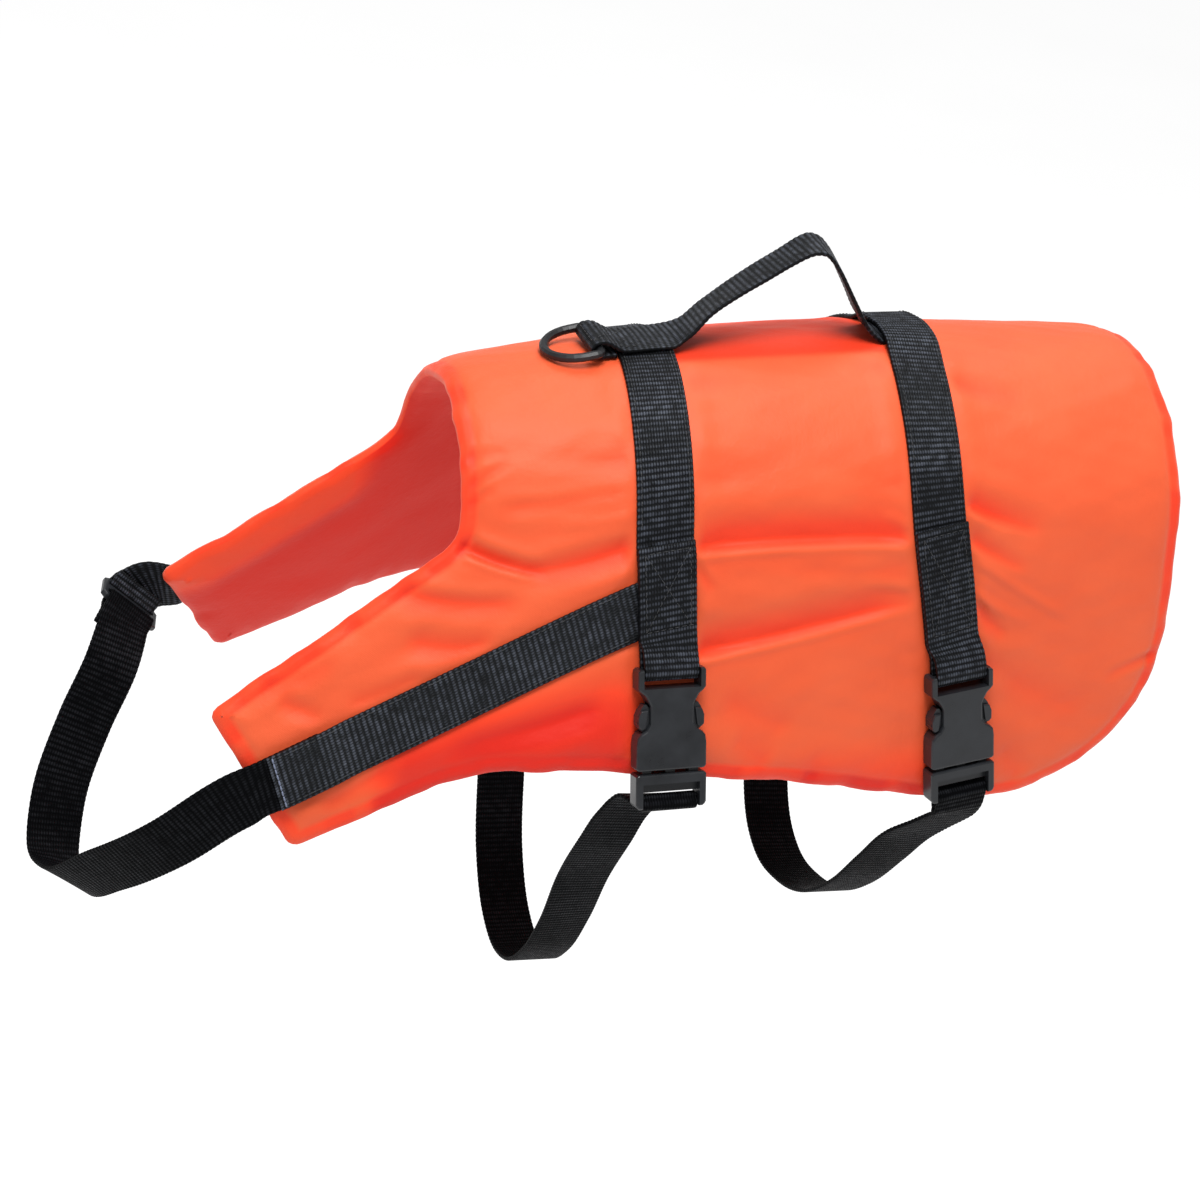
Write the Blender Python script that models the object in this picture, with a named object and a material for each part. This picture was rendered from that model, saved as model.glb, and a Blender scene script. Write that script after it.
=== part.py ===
"""Dog life jacket, worn form: a padded panel over the back with two chest wings,
25 mm webbing girth, belly and chest straps, two side-release buckles, a web
slider, a carrying handle and a leash D-ring.

Frame: +X towards the tail, -Y the dog's left side, +Z up.  The origin is on the
inner face of the back panel, at the spine, between the two girth straps.
All tables are in millimetres and degrees.
"""
import math

import bmesh
import bpy
import numpy as np
from mathutils import Matrix, Vector
from mathutils.geometry import delaunay_2d_cdt

MM = 0.001

# Back panel: a padded wall, bent over the back
WALL = 12.0            # foam and both cloths
RIM = 4.0              # thickness where the rim is stitched shut
PILLOW = 20.0          # width over which the wall thins to its rim
EASE = math.radians(8.0)   # last bit of turn, eased in below the crown arc

# Cross-sections of the outer face, head end first
SECTION_COLUMNS = ("x", "crown", "radius", "flare")
SECTIONS = (
    (-253.0, -23.0, 30.0, 67.0),
    (-158.0, -9.0, 58.0, 70.0),
    (-88.0, 3.0, 75.0, 70.5),
    (22.0, 14.0, 82.0, 78.0),
    (112.0, 17.0, 82.0, 82.0),
    (192.0, 17.0, 80.5, 83.0),
)

# Flat cut of one half: x along the spine, girth down from the spine, corner radius
CUT = (
    (-149.5, 0.0, 0.0),        # neck edge at the spine
    (-150.0, 88.0, 16.0),      # corner between neck and wing
    (-252.0, 141.0, 4.0),      # wing tip, upper corner
    (-217.0, 206.0, 6.0),      # wing tip, lower corner
    (-143.0, 189.0, 90.0),     # front leg cut-out
    (82.0, 238.0, 120.0),      # belly edge
    (194.0, 240.0, 80.0),      # rear corner
    (185.5, 76.0, 120.0),
    (185.5, 0.0, 0.0),         # rear edge at the spine
)
EDGE_STEP = 11.0       # spacing of points along the cut
GRID_STEP = 13.5       # spacing of points inside it
RING_OFFSETS = (3.0, 9.0, 17.0)

# Soft folds: side (-1 left, +1 right), x, girth, length, heading, width, depth
FOLDS = (
    (-1, -125.0, 99.0, 74.0, 14.0, 7.0, 3.2),
    (-1, -108.0, 124.0, 60.0, -14.0, 9.0, 1.8),
    (-1, -180.0, 132.0, 66.0, 34.0, 9.0, 1.8),
    (-1, 2.0, 106.0, 100.0, 4.0, 10.0, 2.4),
    (-1, -6.0, 152.0, 84.0, -9.0, 11.0, 1.8),
    (-1, 132.0, 138.0, 92.0, 30.0, 10.0, 2.6),
    (-1, 140.0, 96.0, 66.0, 12.0, 10.0, 1.6),
    (1, -122.0, 101.0, 66.0, 19.0, 7.0, 3.0),
    (1, -112.0, 130.0, 54.0, -8.0, 9.0, 1.6),
    (1, -186.0, 136.0, 60.0, 30.0, 9.0, 1.6),
    (1, -4.0, 112.0, 108.0, -3.0, 10.0, 2.2),
    (1, 6.0, 158.0, 76.0, 7.0, 11.0, 1.8),
    (1, 134.0, 128.0, 84.0, 24.0, 10.0, 2.4),
    (1, 138.0, 176.0, 60.0, 16.0, 10.0, 1.6),
)

# Webbing
WEB = 25.0             # width
WEB_T = 1.8            # thickness
GAP = 0.45             # clearance between stacked layers
LAYER = WEB_T + GAP    # height that one layer adds
CROWN_EXTRA = 0.15     # more of it where two straps cross on the crown
STRAP_STEP = 8.0       # spacing of rows along a strap
BEND_STEP = 1.3        # the same round a bar

# Lanes of the two girth straps: x of their middle down the side
LANE_COLUMNS = ("girth", "front", "rear")
LANES = (
    (0.0, -60.0, 65.0),
    (60.0, -64.0, 60.0),
    (100.0, -64.0, 62.0),
    (140.0, -62.0, 71.0),
    (180.0, -59.5, 80.5),
    (240.0, -57.5, 90.0),
)
LANE_CLEAR = 15.0      # folds start this far from the middle of a lane
GIRTH_END = {"front": 196.0, "rear": 226.0}    # far end of the sewn girth straps
BOX_TOP = {"front": 104.0, "rear": 106.0}      # upper end of the folded-back layer
SOCKET_TOP = {"front": 157.5, "rear": 172.0}   # girth of the buckle's first bar

# Slanted chest straps, flat points; side is -1 on the left and +1 on the right
CHEST_ROOT = (-66.0, 129.5)    # under the front girth strap
CHEST_HEM = {-1: (-225.0, 175.8), 1: (-234.0, 159.5)}   # end near the wing tip
CHEST_TUCK = 22.0              # length of the free strap under the hem
CHEST_PAST = 5.0               # from the hem to the edge of the wing
CHEST_EASE = 0.5               # extra height over the wing's rounded rim

# Side-release buckle: v runs down the strap, half is half its width
BUCKLE_T = 9.0
BUCKLE_SPAN = (10.0, 46.0)     # the buckle lies along the cloth between these
SOCKET_OUTLINE = (
    (0.0, 14.6), (1.0, 15.5), (8.6, 15.5), (10.0, 14.2), (11.4, 12.4), (13.4, 11.2),
    (16.0, 10.0), (24.0, 10.0), (26.6, 11.6), (28.2, 14.2), (30.0, 15.6), (33.0, 16.0),
    (43.4, 16.0), (44.5, 15.2),
)
PLUG_OUTLINE = (
    (46.0, 15.4), (47.0, 16.2), (59.4, 16.2), (60.6, 15.6), (61.4, 14.6),
)
PAD_OUTLINE = (                # across, down: the thumb pad at a prong's tip
    (10.7, 17.6), (13.9, 18.0), (15.1, 21.0), (15.0, 25.0), (13.6, 26.4), (11.8, 25.6),
)
PRONG_OUTLINE = (              # inner and outer half width at each v
    (15.4, 11.2, 12.4), (17.2, 9.9, 13.6), (20.0, 9.6, 14.9), (23.6, 9.5, 15.3),
    (26.0, 9.4, 14.3), (27.5, 9.3, 12.9), (46.6, 8.6, 12.9),
)
BUCKLE_BEVEL = 0.9
SLOT_HALF = 13.0               # half width of the slots for the webbing
SOCKET_SLOT = (-2.0, 8.4)      # each from and to, down the strap
SOCKET_CAVITY = (14.8, 47.0)
CAVITY_HALF = 13.3
CAVITY_T = 5.2
PLUG_SLOT = (54.6, 64.0)
PLUG_RECESS = (50.4, 55.6)     # in the outer face, above the slot
RECESS_FLOOR = 1.0             # above the buckle's middle
TONGUE = (2.2, 19.0, 47.5, 4.4)    # half width, from, to, thickness
PRONG_T = 4.5
PAD_T = 7.4
PAD_BEVEL = 0.5
BAR_R = 1.6
BAR_HALF = 14.0
FIRST_BAR = 1.8
LAST_BAR = 59.4
BUCKLE_LIFT = 5.2              # middle of the buckle above the cloth
BAR_WRAP_R = BAR_R + GAP + WEB_T / 2

# Web slider: bars along its width, length down the free strap
SLIDER = {"width": 31.0, "length": 17.6, "thick": 3.0, "rail": 2.5,
          "bar": 3.2, "middle": 4.5}
SLIDER_CORNER = 2.2
SLIDER_BEVEL = 0.8
SLIDER_WRAP_R = 3.25   # middle of the webbing round its bars
SLIDER_AT = (-261.8, 79.0, -164.6)
SLIDER_ACROSS = (0.799, -0.186, -0.571)
SLIDER_DOWN = (-0.205, -0.978, 0.031)

# D-ring: round wire, its straight bar across the spine
DRING_X = -82.0
DRING_WIRE = 2.0
DRING_HALF = 15.4
DRING_LENGTH = 22.0
DRING_LIFT = 4.5       # bar's middle above the cloth
DRING_CORNER = 2.6
DRING_REST = 2.45      # wire centre above the cloth at its free end

# Handle strap: x and height of its rows off the cloth, from the D-ring to the rear strap
HANDLE_UNDER_TAB = (-74.3, -78.2)              # x of the flap's rows, toward the ring
HANDLE_DROP = ((-78.6, 7.4), (-75.6, 5.6))     # from the ring down to the front strap
HANDLE_OVER = ((-71.6, 0.5), (-67.0, 0.0), (-60.0, 0.0), (-53.0, 0.0), (-47.5, 0.3))
HANDLE_UNDER = (50.6, 56.0, 63.0, 70.5)        # x of the rows sewn under the rear strap
HANDLE_STEP = 5.0
HANDLE = (             # x and z of the free arch, then its width's lean along x and up
    (-42.5, 13.6, 0.06, -0.08), (-32.0, 24.4, 0.12, -0.17), (-21.0, 33.6, 0.11, -0.15),
    (-9.5, 42.0, 0.09, -0.12), (2.0, 50.0, 0.09, -0.11), (8.5, 54.2, 0.10, -0.06),
    (14.0, 56.3, 0.11, 0.0), (19.6, 54.4, 0.12, 0.05), (25.0, 49.0, 0.12, 0.09),
    (31.6, 39.8, 0.12, 0.09), (38.0, 30.4, 0.11, 0.08), (43.6, 22.4, 0.08, 0.06),
    (48.6, 17.6, 0.04, 0.03),
)

# Free straps: x, y, z of the middle, then the direction of the width
FRONT_LOOP = (
    (-59.0, 112.6, -162.0, 1.0, 0.0, 0.0),
    (-59.0, 110.5, -188.0, 1.0, 0.0, 0.0),
    (-60.0, 103.0, -228.0, 1.0, 0.0, 0.0),
    (-60.0, 93.0, -272.0, 1.0, 0.0, 0.0),
    (-60.0, 77.0, -310.0, 1.0, 0.0, 0.0),
    (-60.0, 56.0, -330.0, 1.0, 0.0, 0.0),
    (-60.0, 33.0, -336.5, 1.0, 0.0, 0.0),
    (-60.0, 11.0, -330.0, 1.0, 0.0, 0.0),
    (-60.0, -9.0, -311.0, 1.0, 0.0, 0.0),
    (-61.0, -29.0, -280.0, 1.0, 0.0, 0.0),
    (-64.0, -51.0, -240.0, 1.0, -0.05, -0.05),
    (-66.0, -74.0, -206.0, 1.0, -0.05, -0.05),
    (-64.5, -88.0, -181.0, 1.0, 0.0, 0.0),
    (-61.0, -99.0, -166.5, 1.0, 0.0, 0.0),
)
REAR_LOOP = (
    (89.5, 105.4, -181.0, 1.0, 0.0, 0.0),
    (89.0, 104.0, -204.0, 1.0, 0.0, 0.0),
    (88.0, 98.5, -238.0, 1.0, 0.0, 0.0),
    (86.0, 88.0, -273.0, 1.0, 0.0, 0.0),
    (85.0, 71.0, -292.0, 1.0, 0.0, 0.0),
    (84.0, 48.0, -299.5, 1.0, 0.0, 0.0),
    (84.0, 20.0, -296.0, 1.0, 0.0, 0.0),
    (83.0, -9.0, -283.0, 1.0, 0.0, 0.0),
    (83.0, -36.0, -260.0, 1.0, 0.0, 0.0),
    (83.0, -60.0, -230.0, 1.0, -0.04, -0.04),
    (83.6, -79.6, -204.6, 1.0, -0.06, -0.04),
    (87.6, -91.6, -191.0, 0.98, -0.06, 0.06),
    (90.7, -101.4, -179.6, 0.98, -0.04, 0.12),
)
CHEST_LOOP = (
    (-240.0, -84.0, -173.0, 0.5, -0.3, -0.8),
    (-264.0, -72.0, -200.0, 0.7, -0.28, -0.66),
    (-285.0, -42.0, -233.0, 0.72, -0.28, -0.6),
    (-297.0, -8.0, -259.0, 0.86, -0.12, -0.5),
    (-299.3, 13.0, -261.0, 0.92, -0.06, -0.36),
    (-296.0, 31.0, -239.0, 0.92, -0.2, -0.2),
    (-285.0, 43.5, -208.5, 0.92, -0.3, -0.2),
    (-273.0, 49.4, -179.0, 0.88, -0.25, -0.4),
)

TAB_LOOP = (
    (-251.3, 83.2, -156.3, 0.5, -0.08, -0.86),
)

# name: base colour, roughness, metallic
MATERIALS = {
    "orange_nylon": ((0.86, 0.13, 0.035), 0.62, 0.0),
    "black_webbing": ((0.018, 0.018, 0.021), 0.7, 0.0),
    "black_plastic": ((0.028, 0.029, 0.032), 0.42, 0.0),
    "black_steel": ((0.05, 0.052, 0.058), 0.35, 0.9),
}


# ---------------------------------------------------------------- curves

def hermite(knots, values, at):
    """Smooth curve through the values at the knots; values may have columns."""
    knots = np.asarray(knots, float)
    values = np.asarray(values, float)
    at = np.asarray(at, float)
    slopes = np.gradient(values, knots, axis=0)
    i = np.clip(np.searchsorted(knots, at) - 1, 0, len(knots) - 2)
    span = knots[i + 1] - knots[i]
    t = (at - knots[i]) / span
    if values.ndim > 1:
        span = span[..., None]
        t = t[..., None]
    ease = t * t * (3 - 2 * t)
    return ((1 - ease) * values[i] + ease * values[i + 1]
            + span * (t * (1 - t) ** 2 * slopes[i] - t * t * (1 - t) * slopes[i + 1]))


def table(rows, columns, name, at):
    """One named column of a table, as a smooth curve over its first column."""
    rows = np.array(rows, float)
    return hermite(rows[:, 0], rows[:, columns.index(name)], at)


def resample(points, step):
    """Points every step or so along a smooth curve through the given points."""
    points = np.asarray(points, float)
    along = np.concatenate([[0], np.cumsum(np.linalg.norm(np.diff(points[:, :3], axis=0), axis=1))])
    count = max(2, int(math.ceil(along[-1] / step)) + 1)
    return hermite(along, points, np.linspace(0, along[-1], count))


def unit(vectors):
    vectors = np.asarray(vectors, float)
    return vectors / np.linalg.norm(vectors, axis=-1, keepdims=True)


def window(at, low, high, ramp):
    """1 between low and high, easing to 0 over the ramp outside them."""
    inside = np.minimum(np.asarray(at, float) - low, high - np.asarray(at, float))
    k = np.clip(inside / ramp + 1, 0, 1)
    return k * k * (3 - 2 * k)


# ---------------------------------------------------------------- the panel's form

def section(name, x):
    return table(SECTIONS, SECTION_COLUMNS, name, x)


CROWN_AT_ORIGIN = float(section("crown", 0.0))


def shell(x, girth):
    """Smooth outer form; girth is signed, negative on the left side."""
    x = np.asarray(x, float)
    crown = section("crown", x) - CROWN_AT_ORIGIN + WALL
    radius = section("radius", x)
    flare = np.radians(section("flare", x))
    reach = np.abs(girth)
    arc = np.minimum(reach, radius * (flare - EASE))
    run = reach - arc
    soft = radius * EASE ** 2 * (1 - np.exp(-run / (radius * EASE)))
    y = radius * np.sin(arc / radius) + np.cos(flare) * run + np.sin(flare) * soft
    z = crown - radius * (1 - np.cos(arc / radius)) - np.sin(flare) * run + np.cos(flare) * soft
    return np.stack([x, np.sign(girth) * y, z], axis=-1)


def shell_frame(x, girth):
    """Unit directions along x, along girth, and outward."""
    h = 0.5
    x = np.asarray(x, float)
    girth = np.asarray(girth, float)
    along = unit(shell(x + h, girth) - shell(x - h, girth))
    down = unit(shell(x, girth + h) - shell(x, girth - h))
    return along, down, unit(np.cross(along, down))


def rounded(corners, step):
    """Open outline through corners of (x, y, radius), arcs at the radii."""
    path = [np.array(corners[0][:2])]
    for before, here, after in zip(corners, corners[1:], corners[2:]):
        corner = np.array(here[:2])
        back = unit(np.array(before[:2]) - corner)
        ahead = unit(np.array(after[:2]) - corner)
        half = math.acos(np.clip(back @ ahead, -1, 1)) / 2
        cut = here[2] / math.tan(half)
        centre = corner + unit(back + ahead) * here[2] / math.sin(half)
        start = corner + back * cut - centre
        turn = math.pi - 2 * half
        sense = math.copysign(1.0, back[1] * ahead[0] - back[0] * ahead[1])
        steps = max(2, int(math.ceil(here[2] * turn / step)))
        for k in range(steps + 1):
            angle = sense * turn * k / steps
            c, s = math.cos(angle), math.sin(angle)
            path.append(centre + np.array([c * start[0] - s * start[1], s * start[0] + c * start[1]]))
    path.append(np.array(corners[-1][:2]))
    full = [path[0]]
    for a, b in zip(path, path[1:]):
        pieces = max(1, int(round(np.linalg.norm(b - a) / step)))
        full += [a + (b - a) * k / pieces for k in range(1, pieces + 1)]
    return np.array(full)


HALF_CUT = rounded(CUT, EDGE_STEP)
CUT_LOOP = np.concatenate([HALF_CUT, (HALF_CUT * (1, -1))[-2:0:-1]])[::-1]


def inside_cut(flat):
    a = CUT_LOOP
    b = np.roll(CUT_LOOP, -1, axis=0)
    x, y = flat[:, 0, None], flat[:, 1, None]
    spans = (a[:, 1] > y) != (b[:, 1] > y)
    rise = np.where(b[:, 1] == a[:, 1], 1.0, b[:, 1] - a[:, 1])
    cross = x < (b[:, 0] - a[:, 0]) * (y - a[:, 1]) / rise + a[:, 0]
    return (spans & cross).sum(axis=1) % 2 == 1


def edge_distance(flat):
    """Distance of each flat point inside the cut from its edge, 0 outside it."""
    a = CUT_LOOP
    run = np.roll(CUT_LOOP, -1, axis=0) - a
    rel = flat[:, None, :] - a[None]
    t = np.clip((rel * run).sum(-1) / (run * run).sum(-1), 0, 1)
    return np.linalg.norm(rel - t[..., None] * run, axis=-1).min(axis=1) * inside_cut(flat)


def lane_middle(lane, girth):
    """x of the middle of a girth strap's lane."""
    return table(LANES, LANE_COLUMNS, lane, np.abs(girth))


def lane_clearance(flat):
    """0 under the straps, rising to 1 on the open cloth."""
    open_cloth = np.ones(len(flat))
    for lane in LANE_COLUMNS[1:]:
        off = np.abs(flat[:, 0] - lane_middle(lane, flat[:, 1]))
        open_cloth *= np.clip((off - LANE_CLEAR) / 12, 0, 1)
    root = np.array(CHEST_ROOT)
    for side, hem in CHEST_HEM.items():
        run = np.array(hem) - root
        rel = flat * (1, side) - root
        t = np.clip(rel @ run / (run @ run), 0, 1.1)
        off = np.linalg.norm(rel - t[:, None] * run, axis=-1)
        open_cloth *= np.clip((off - LANE_CLEAR) / 10, 0, 1)
    return open_cloth


def fold_depth(flat):
    """How far the folds pull the outer face in."""
    depth = np.zeros(len(flat))
    for side, x, girth, length, heading, width, deep in FOLDS:
        turn = math.radians(heading)
        rel_x = flat[:, 0] - x
        rel_g = side * flat[:, 1] - girth
        along = rel_x * math.cos(turn) + rel_g * math.sin(turn)
        across = -rel_x * math.sin(turn) + rel_g * math.cos(turn) - along ** 2 / (4 * length)
        taper = np.clip(1 - (2 * along / length) ** 2, 0, 1)
        depth += deep * taper * np.exp(-(across / width) ** 2)
    return depth * lane_clearance(flat)


def cloth(x, girth, lift):
    """Point on the outer face, lifted off it by the given height."""
    x, girth = np.broadcast_arrays(np.asarray(x, float), np.asarray(girth, float))
    flat = np.stack([x.ravel(), girth.ravel()], axis=-1)
    out = shell_frame(flat[:, 0], flat[:, 1])[2]
    k = np.clip(edge_distance(flat) / PILLOW, 0, 1)
    half = RIM / 2 + (WALL - RIM) / 2 * np.sqrt(k * (2 - k))
    height = half - WALL / 2 - fold_depth(flat) * k + np.broadcast_to(lift, x.shape).ravel()
    points = shell(flat[:, 0], flat[:, 1]) + out * height[:, None]
    return points.reshape(x.shape + (3,))


def lining(flat):
    """Points on the inner face."""
    out = shell_frame(flat[:, 0], flat[:, 1])[2]
    k = np.clip(edge_distance(flat) / PILLOW, 0, 1)
    half = RIM / 2 + (WALL - RIM) / 2 * np.sqrt(k * (2 - k))
    height = half + WALL / 2 + 0.5 * fold_depth(flat) * k
    return shell(flat[:, 0], flat[:, 1]) - out * height[:, None]


# ---------------------------------------------------------------- making objects

def clear_scene():
    for obj in list(bpy.data.objects):
        bpy.data.objects.remove(obj)


def material(name):
    found = bpy.data.materials.get(name)
    if found:
        return found
    colour, roughness, metallic = MATERIALS[name]
    made = bpy.data.materials.new(name)
    made.use_nodes = True
    shader = made.node_tree.nodes["Principled BSDF"]
    shader.inputs["Base Color"].default_value = colour + (1.0,)
    shader.inputs["Roughness"].default_value = roughness
    shader.inputs["Metallic"].default_value = metallic
    return made


def add_object(name, mesh, finish):
    obj = bpy.data.objects.new(name, mesh)
    bpy.context.scene.collection.objects.link(obj)
    mesh.materials.clear()
    mesh.materials.append(material(finish))
    return obj


def closed_mesh(name, points, faces, smooth=30.0):
    """Mesh from points in millimetres, its faces turned outward."""
    mesh = bpy.data.meshes.new(name)
    mesh.from_pydata([tuple(p) for p in np.asarray(points) * MM], [], faces)
    work = bmesh.new()
    work.from_mesh(mesh)
    bmesh.ops.recalc_face_normals(work, faces=work.faces)
    work.to_mesh(mesh)
    work.free()
    mesh.shade_smooth()
    mesh.set_sharp_from_angle(angle=math.radians(smooth))
    return mesh


def band(name, inner, outer, finish):
    """Closed strip from rows of points on its inner and outer faces."""
    rows, across = inner.shape[:2]
    points = np.concatenate([inner.reshape(-1, 3), outer.reshape(-1, 3)])
    top = rows * across
    faces = []
    for r in range(rows - 1):
        for c in range(across - 1):
            a = r * across + c
            faces.append((a, a + 1, a + across + 1, a + across))
            faces.append((top + a, top + a + across, top + a + across + 1, top + a + 1))
        for a, sense in ((r * across, 1), (r * across + across - 1, -1)):
            side = (a, a + across, top + a + across, top + a)
            faces.append(side[::sense])
    for c in range(across - 1):
        for a, sense in ((c, 1), ((rows - 1) * across + c, -1)):
            cap = (a, top + a, top + a + 1, a + 1)
            faces.append(cap[::sense])
    return add_object(name, closed_mesh(name, points, faces), finish)


# ---------------------------------------------------------------- the padded body

def panel_points():
    """Flat points: the cut, rings inside it, rows along the folds, then a grid."""
    run = np.roll(CUT_LOOP, -1, axis=0) - np.roll(CUT_LOOP, 1, axis=0)
    inward = unit(np.stack([-run[:, 1], run[:, 0]], axis=-1))
    if not inside_cut(CUT_LOOP[:1] + inward[:1] * 2)[0]:
        inward = -inward
    points = [p for p in CUT_LOOP]

    def add(candidates, edge_gap, spacing):
        candidates = candidates[inside_cut(candidates)]
        candidates = candidates[edge_distance(candidates) > edge_gap]
        for p in candidates:
            if np.min(np.linalg.norm(np.array(points) - p, axis=1)) > spacing:
                points.append(p)

    for offset in RING_OFFSETS:
        add(CUT_LOOP + inward * offset, offset * 0.93, offset * 0.6 if offset < 5 else 4.5)
    for side, x, girth, length, heading, width, deep in FOLDS:
        turn = math.radians(heading)
        t = np.linspace(-0.42, 0.42, max(5, int(length / 11))) * length
        for off in (0.0, -1.3 * width, 1.3 * width):
            across = off + t ** 2 / (4 * length)
            row_x = x + t * math.cos(turn) - across * math.sin(turn)
            row_g = side * (girth + t * math.sin(turn) + across * math.cos(turn))
            add(np.stack([row_x, row_g], axis=-1), 20.0, 5.5)
    rise = GRID_STEP * math.sqrt(3) / 2
    low, high = CUT_LOOP.min(axis=0), CUT_LOOP.max(axis=0)
    count = int(high[1] / rise) + 1
    for row in range(-count, count + 1):
        xs = np.arange(low[0] + (row % 2) * GRID_STEP / 2, high[0], GRID_STEP)
        add(np.stack([xs, np.full(len(xs), row * rise)], axis=-1), 22.0, GRID_STEP * 0.62)
    return np.array(points)


def build_body():
    flat = panel_points()
    loop = list(range(len(CUT_LOOP)))
    result = delaunay_2d_cdt([Vector(p) for p in flat], [], [loop], 1, 1e-5)
    flat = np.array([tuple(p) for p in result[0]])
    tris = [tuple(f) for f in result[2]]
    outer = cloth(flat[:, 0], flat[:, 1], 0.0)
    inner = lining(flat)
    count = len(flat)
    used = set()
    for tri in tris:
        used.update(((tri[0], tri[1]), (tri[1], tri[2]), (tri[2], tri[0])))
    faces = list(tris)
    faces += [tuple(count + v for v in reversed(tri)) for tri in tris]
    for a, b in sorted(used):
        if (b, a) not in used:
            faces.append((b, a, count + a, count + b))
    points = np.concatenate([outer, inner])
    return add_object("jacket_body", closed_mesh("jacket_body", points, faces), "orange_nylon")


# ---------------------------------------------------------------- straps on the cloth

def laid_rows(middle, lift):
    """Rows across a strap that lies on the cloth, from flat middle points."""
    run = unit(np.gradient(middle, axis=0))
    across = np.stack([-run[:, 1], run[:, 0]], axis=-1)
    offsets = np.array([-0.5, 0.0, 0.5]) * WEB
    flat = middle[:, None, :] + across[:, None, :] * offsets[None, :, None]
    lift = np.broadcast_to(lift, (len(middle),))[:, None] * np.ones(3)
    return (cloth(flat[..., 0], flat[..., 1], lift),
            cloth(flat[..., 0], flat[..., 1], lift + WEB_T))


def free_rows(path):
    """Rows across a free strap, from its middle points and width directions."""
    middle = path[:, :3]
    run = unit(np.gradient(middle, axis=0))
    wide = path[:, 3:6]
    wide = unit(wide - (wide * run).sum(-1, keepdims=True) * run)
    face = unit(np.cross(run, wide))
    offsets = np.array([-0.5, 0.0, 0.5]) * WEB
    row = middle[:, None, :] + wide[:, None, :] * offsets[None, :, None]
    return row - face[:, None, :] * WEB_T / 2, row + face[:, None, :] * WEB_T / 2


def buckle_frame(lane):
    """Origin on the cloth, and directions: across, down the strap, outward."""
    first = SOCKET_TOP[lane]
    girth = first + np.array(BUCKLE_SPAN)
    ends = shell(lane_middle(lane, girth), -girth)
    middle = float(girth.mean())
    out = shell_frame(float(lane_middle(lane, middle)), -middle)[2]
    down = unit(ends[1] - ends[0])
    out = unit(out - (out @ down) * down)
    origin = ends[0] - down * (girth[0] - first)
    return origin, np.cross(down, out), down, out


def arc_pairs(start, end, radius):
    """Arc about a bar, from and to the angles in degrees."""
    count = max(4, int(abs(math.radians(end - start)) * radius / BEND_STEP))
    angles = np.radians(np.linspace(start, end, count + 1))
    return np.stack([np.cos(angles), np.sin(angles)], axis=-1) * radius


def placed(pairs, centre, first, second, wide):
    """Path rows (middle, width) from pairs along two directions about a centre."""
    middle = centre + pairs[:, :1] * np.asarray(first) + pairs[:, 1:] * np.asarray(second)
    return np.concatenate([middle, np.broadcast_to(wide, middle.shape)], axis=1)


def round_bar(bar, first, second, wide, arriving, flap, radius, sense):
    """Path that arrives at a bar, goes round it and folds back on itself.

    The bar's middle is `bar`; first and second span the plane across it.  The
    strap turns round the bar in the given sense, and its flap lies beside it.
    """
    first, second = unit(first), unit(second)
    rel = np.asarray(arriving) - bar
    away = unit(np.array([rel @ first, rel @ second]))
    side = sense * np.array([-away[1], away[0]])
    start = math.degrees(math.atan2(side[1], side[0]))
    arc = arc_pairs(start, start + sense * 180, radius)
    lead = np.array([8.0, 5.0, 2.5])[:, None] * away + arc[0]
    along = np.linspace(0, flap, int(flap / 2.5) + 1)[1:]
    close = (2 * radius - LAYER) * (1 - window(along, -1.0, 0.0, 9.0))
    back = arc[-1] + along[:, None] * away + close[:, None] * side
    return placed(np.concatenate([lead, arc, back]), bar, first, second, wide)


def girth_lift(lane, girth):
    """Height of the girth strap's underside above the cloth."""
    reach = np.abs(np.asarray(girth, float))
    if lane == "front":
        return GAP + LAYER * window(reach, 114.0, 148.0, 11.0)
    return GAP + (LAYER + CROWN_EXTRA) * window(reach, -1.0, 17.0, 9.0)


def lane_points(lane, start, end):
    """Flat points down the middle of a girth strap's lane."""
    count = int(math.ceil(abs(end - start) / STRAP_STEP)) + 1
    girth = np.linspace(start, end, count)
    return np.stack([lane_middle(lane, girth), girth], axis=-1)


def build_girth_strap(lane):
    """Folded-back layer, round the socket's bar, then over the back to the far side."""
    leave = SOCKET_TOP[lane] - 14.0
    top = lane_points(lane, -BOX_TOP[lane], -leave)
    top_in, top_out = laid_rows(top, girth_lift(lane, top[:, 1]) + LAYER)
    base = lane_points(lane, -leave, GIRTH_END[lane])
    base_in, base_out = laid_rows(base, girth_lift(lane, base[:, 1]))
    origin, across, down, out = buckle_frame(lane)
    centre = origin + down * FIRST_BAR + out * BUCKLE_LIFT
    above = np.array([(-9.0, BAR_WRAP_R - 2.0), (-4.5, BAR_WRAP_R - 0.5)])
    below = np.array([(-4.5, -BAR_WRAP_R - 0.25), (-9.0, -BAR_WRAP_R - 0.75)])
    pairs = np.concatenate([above, arc_pairs(90.0, -90.0, BAR_WRAP_R), below])
    bend_near, bend_far = free_rows(placed(pairs, centre, down, out, -across))
    one = np.concatenate([top_out, bend_far, base_in[:, ::-1]])
    other = np.concatenate([top_in, bend_near, base_out[:, ::-1]])
    return band("girth_strap_" + lane, one, other, "black_webbing")


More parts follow.
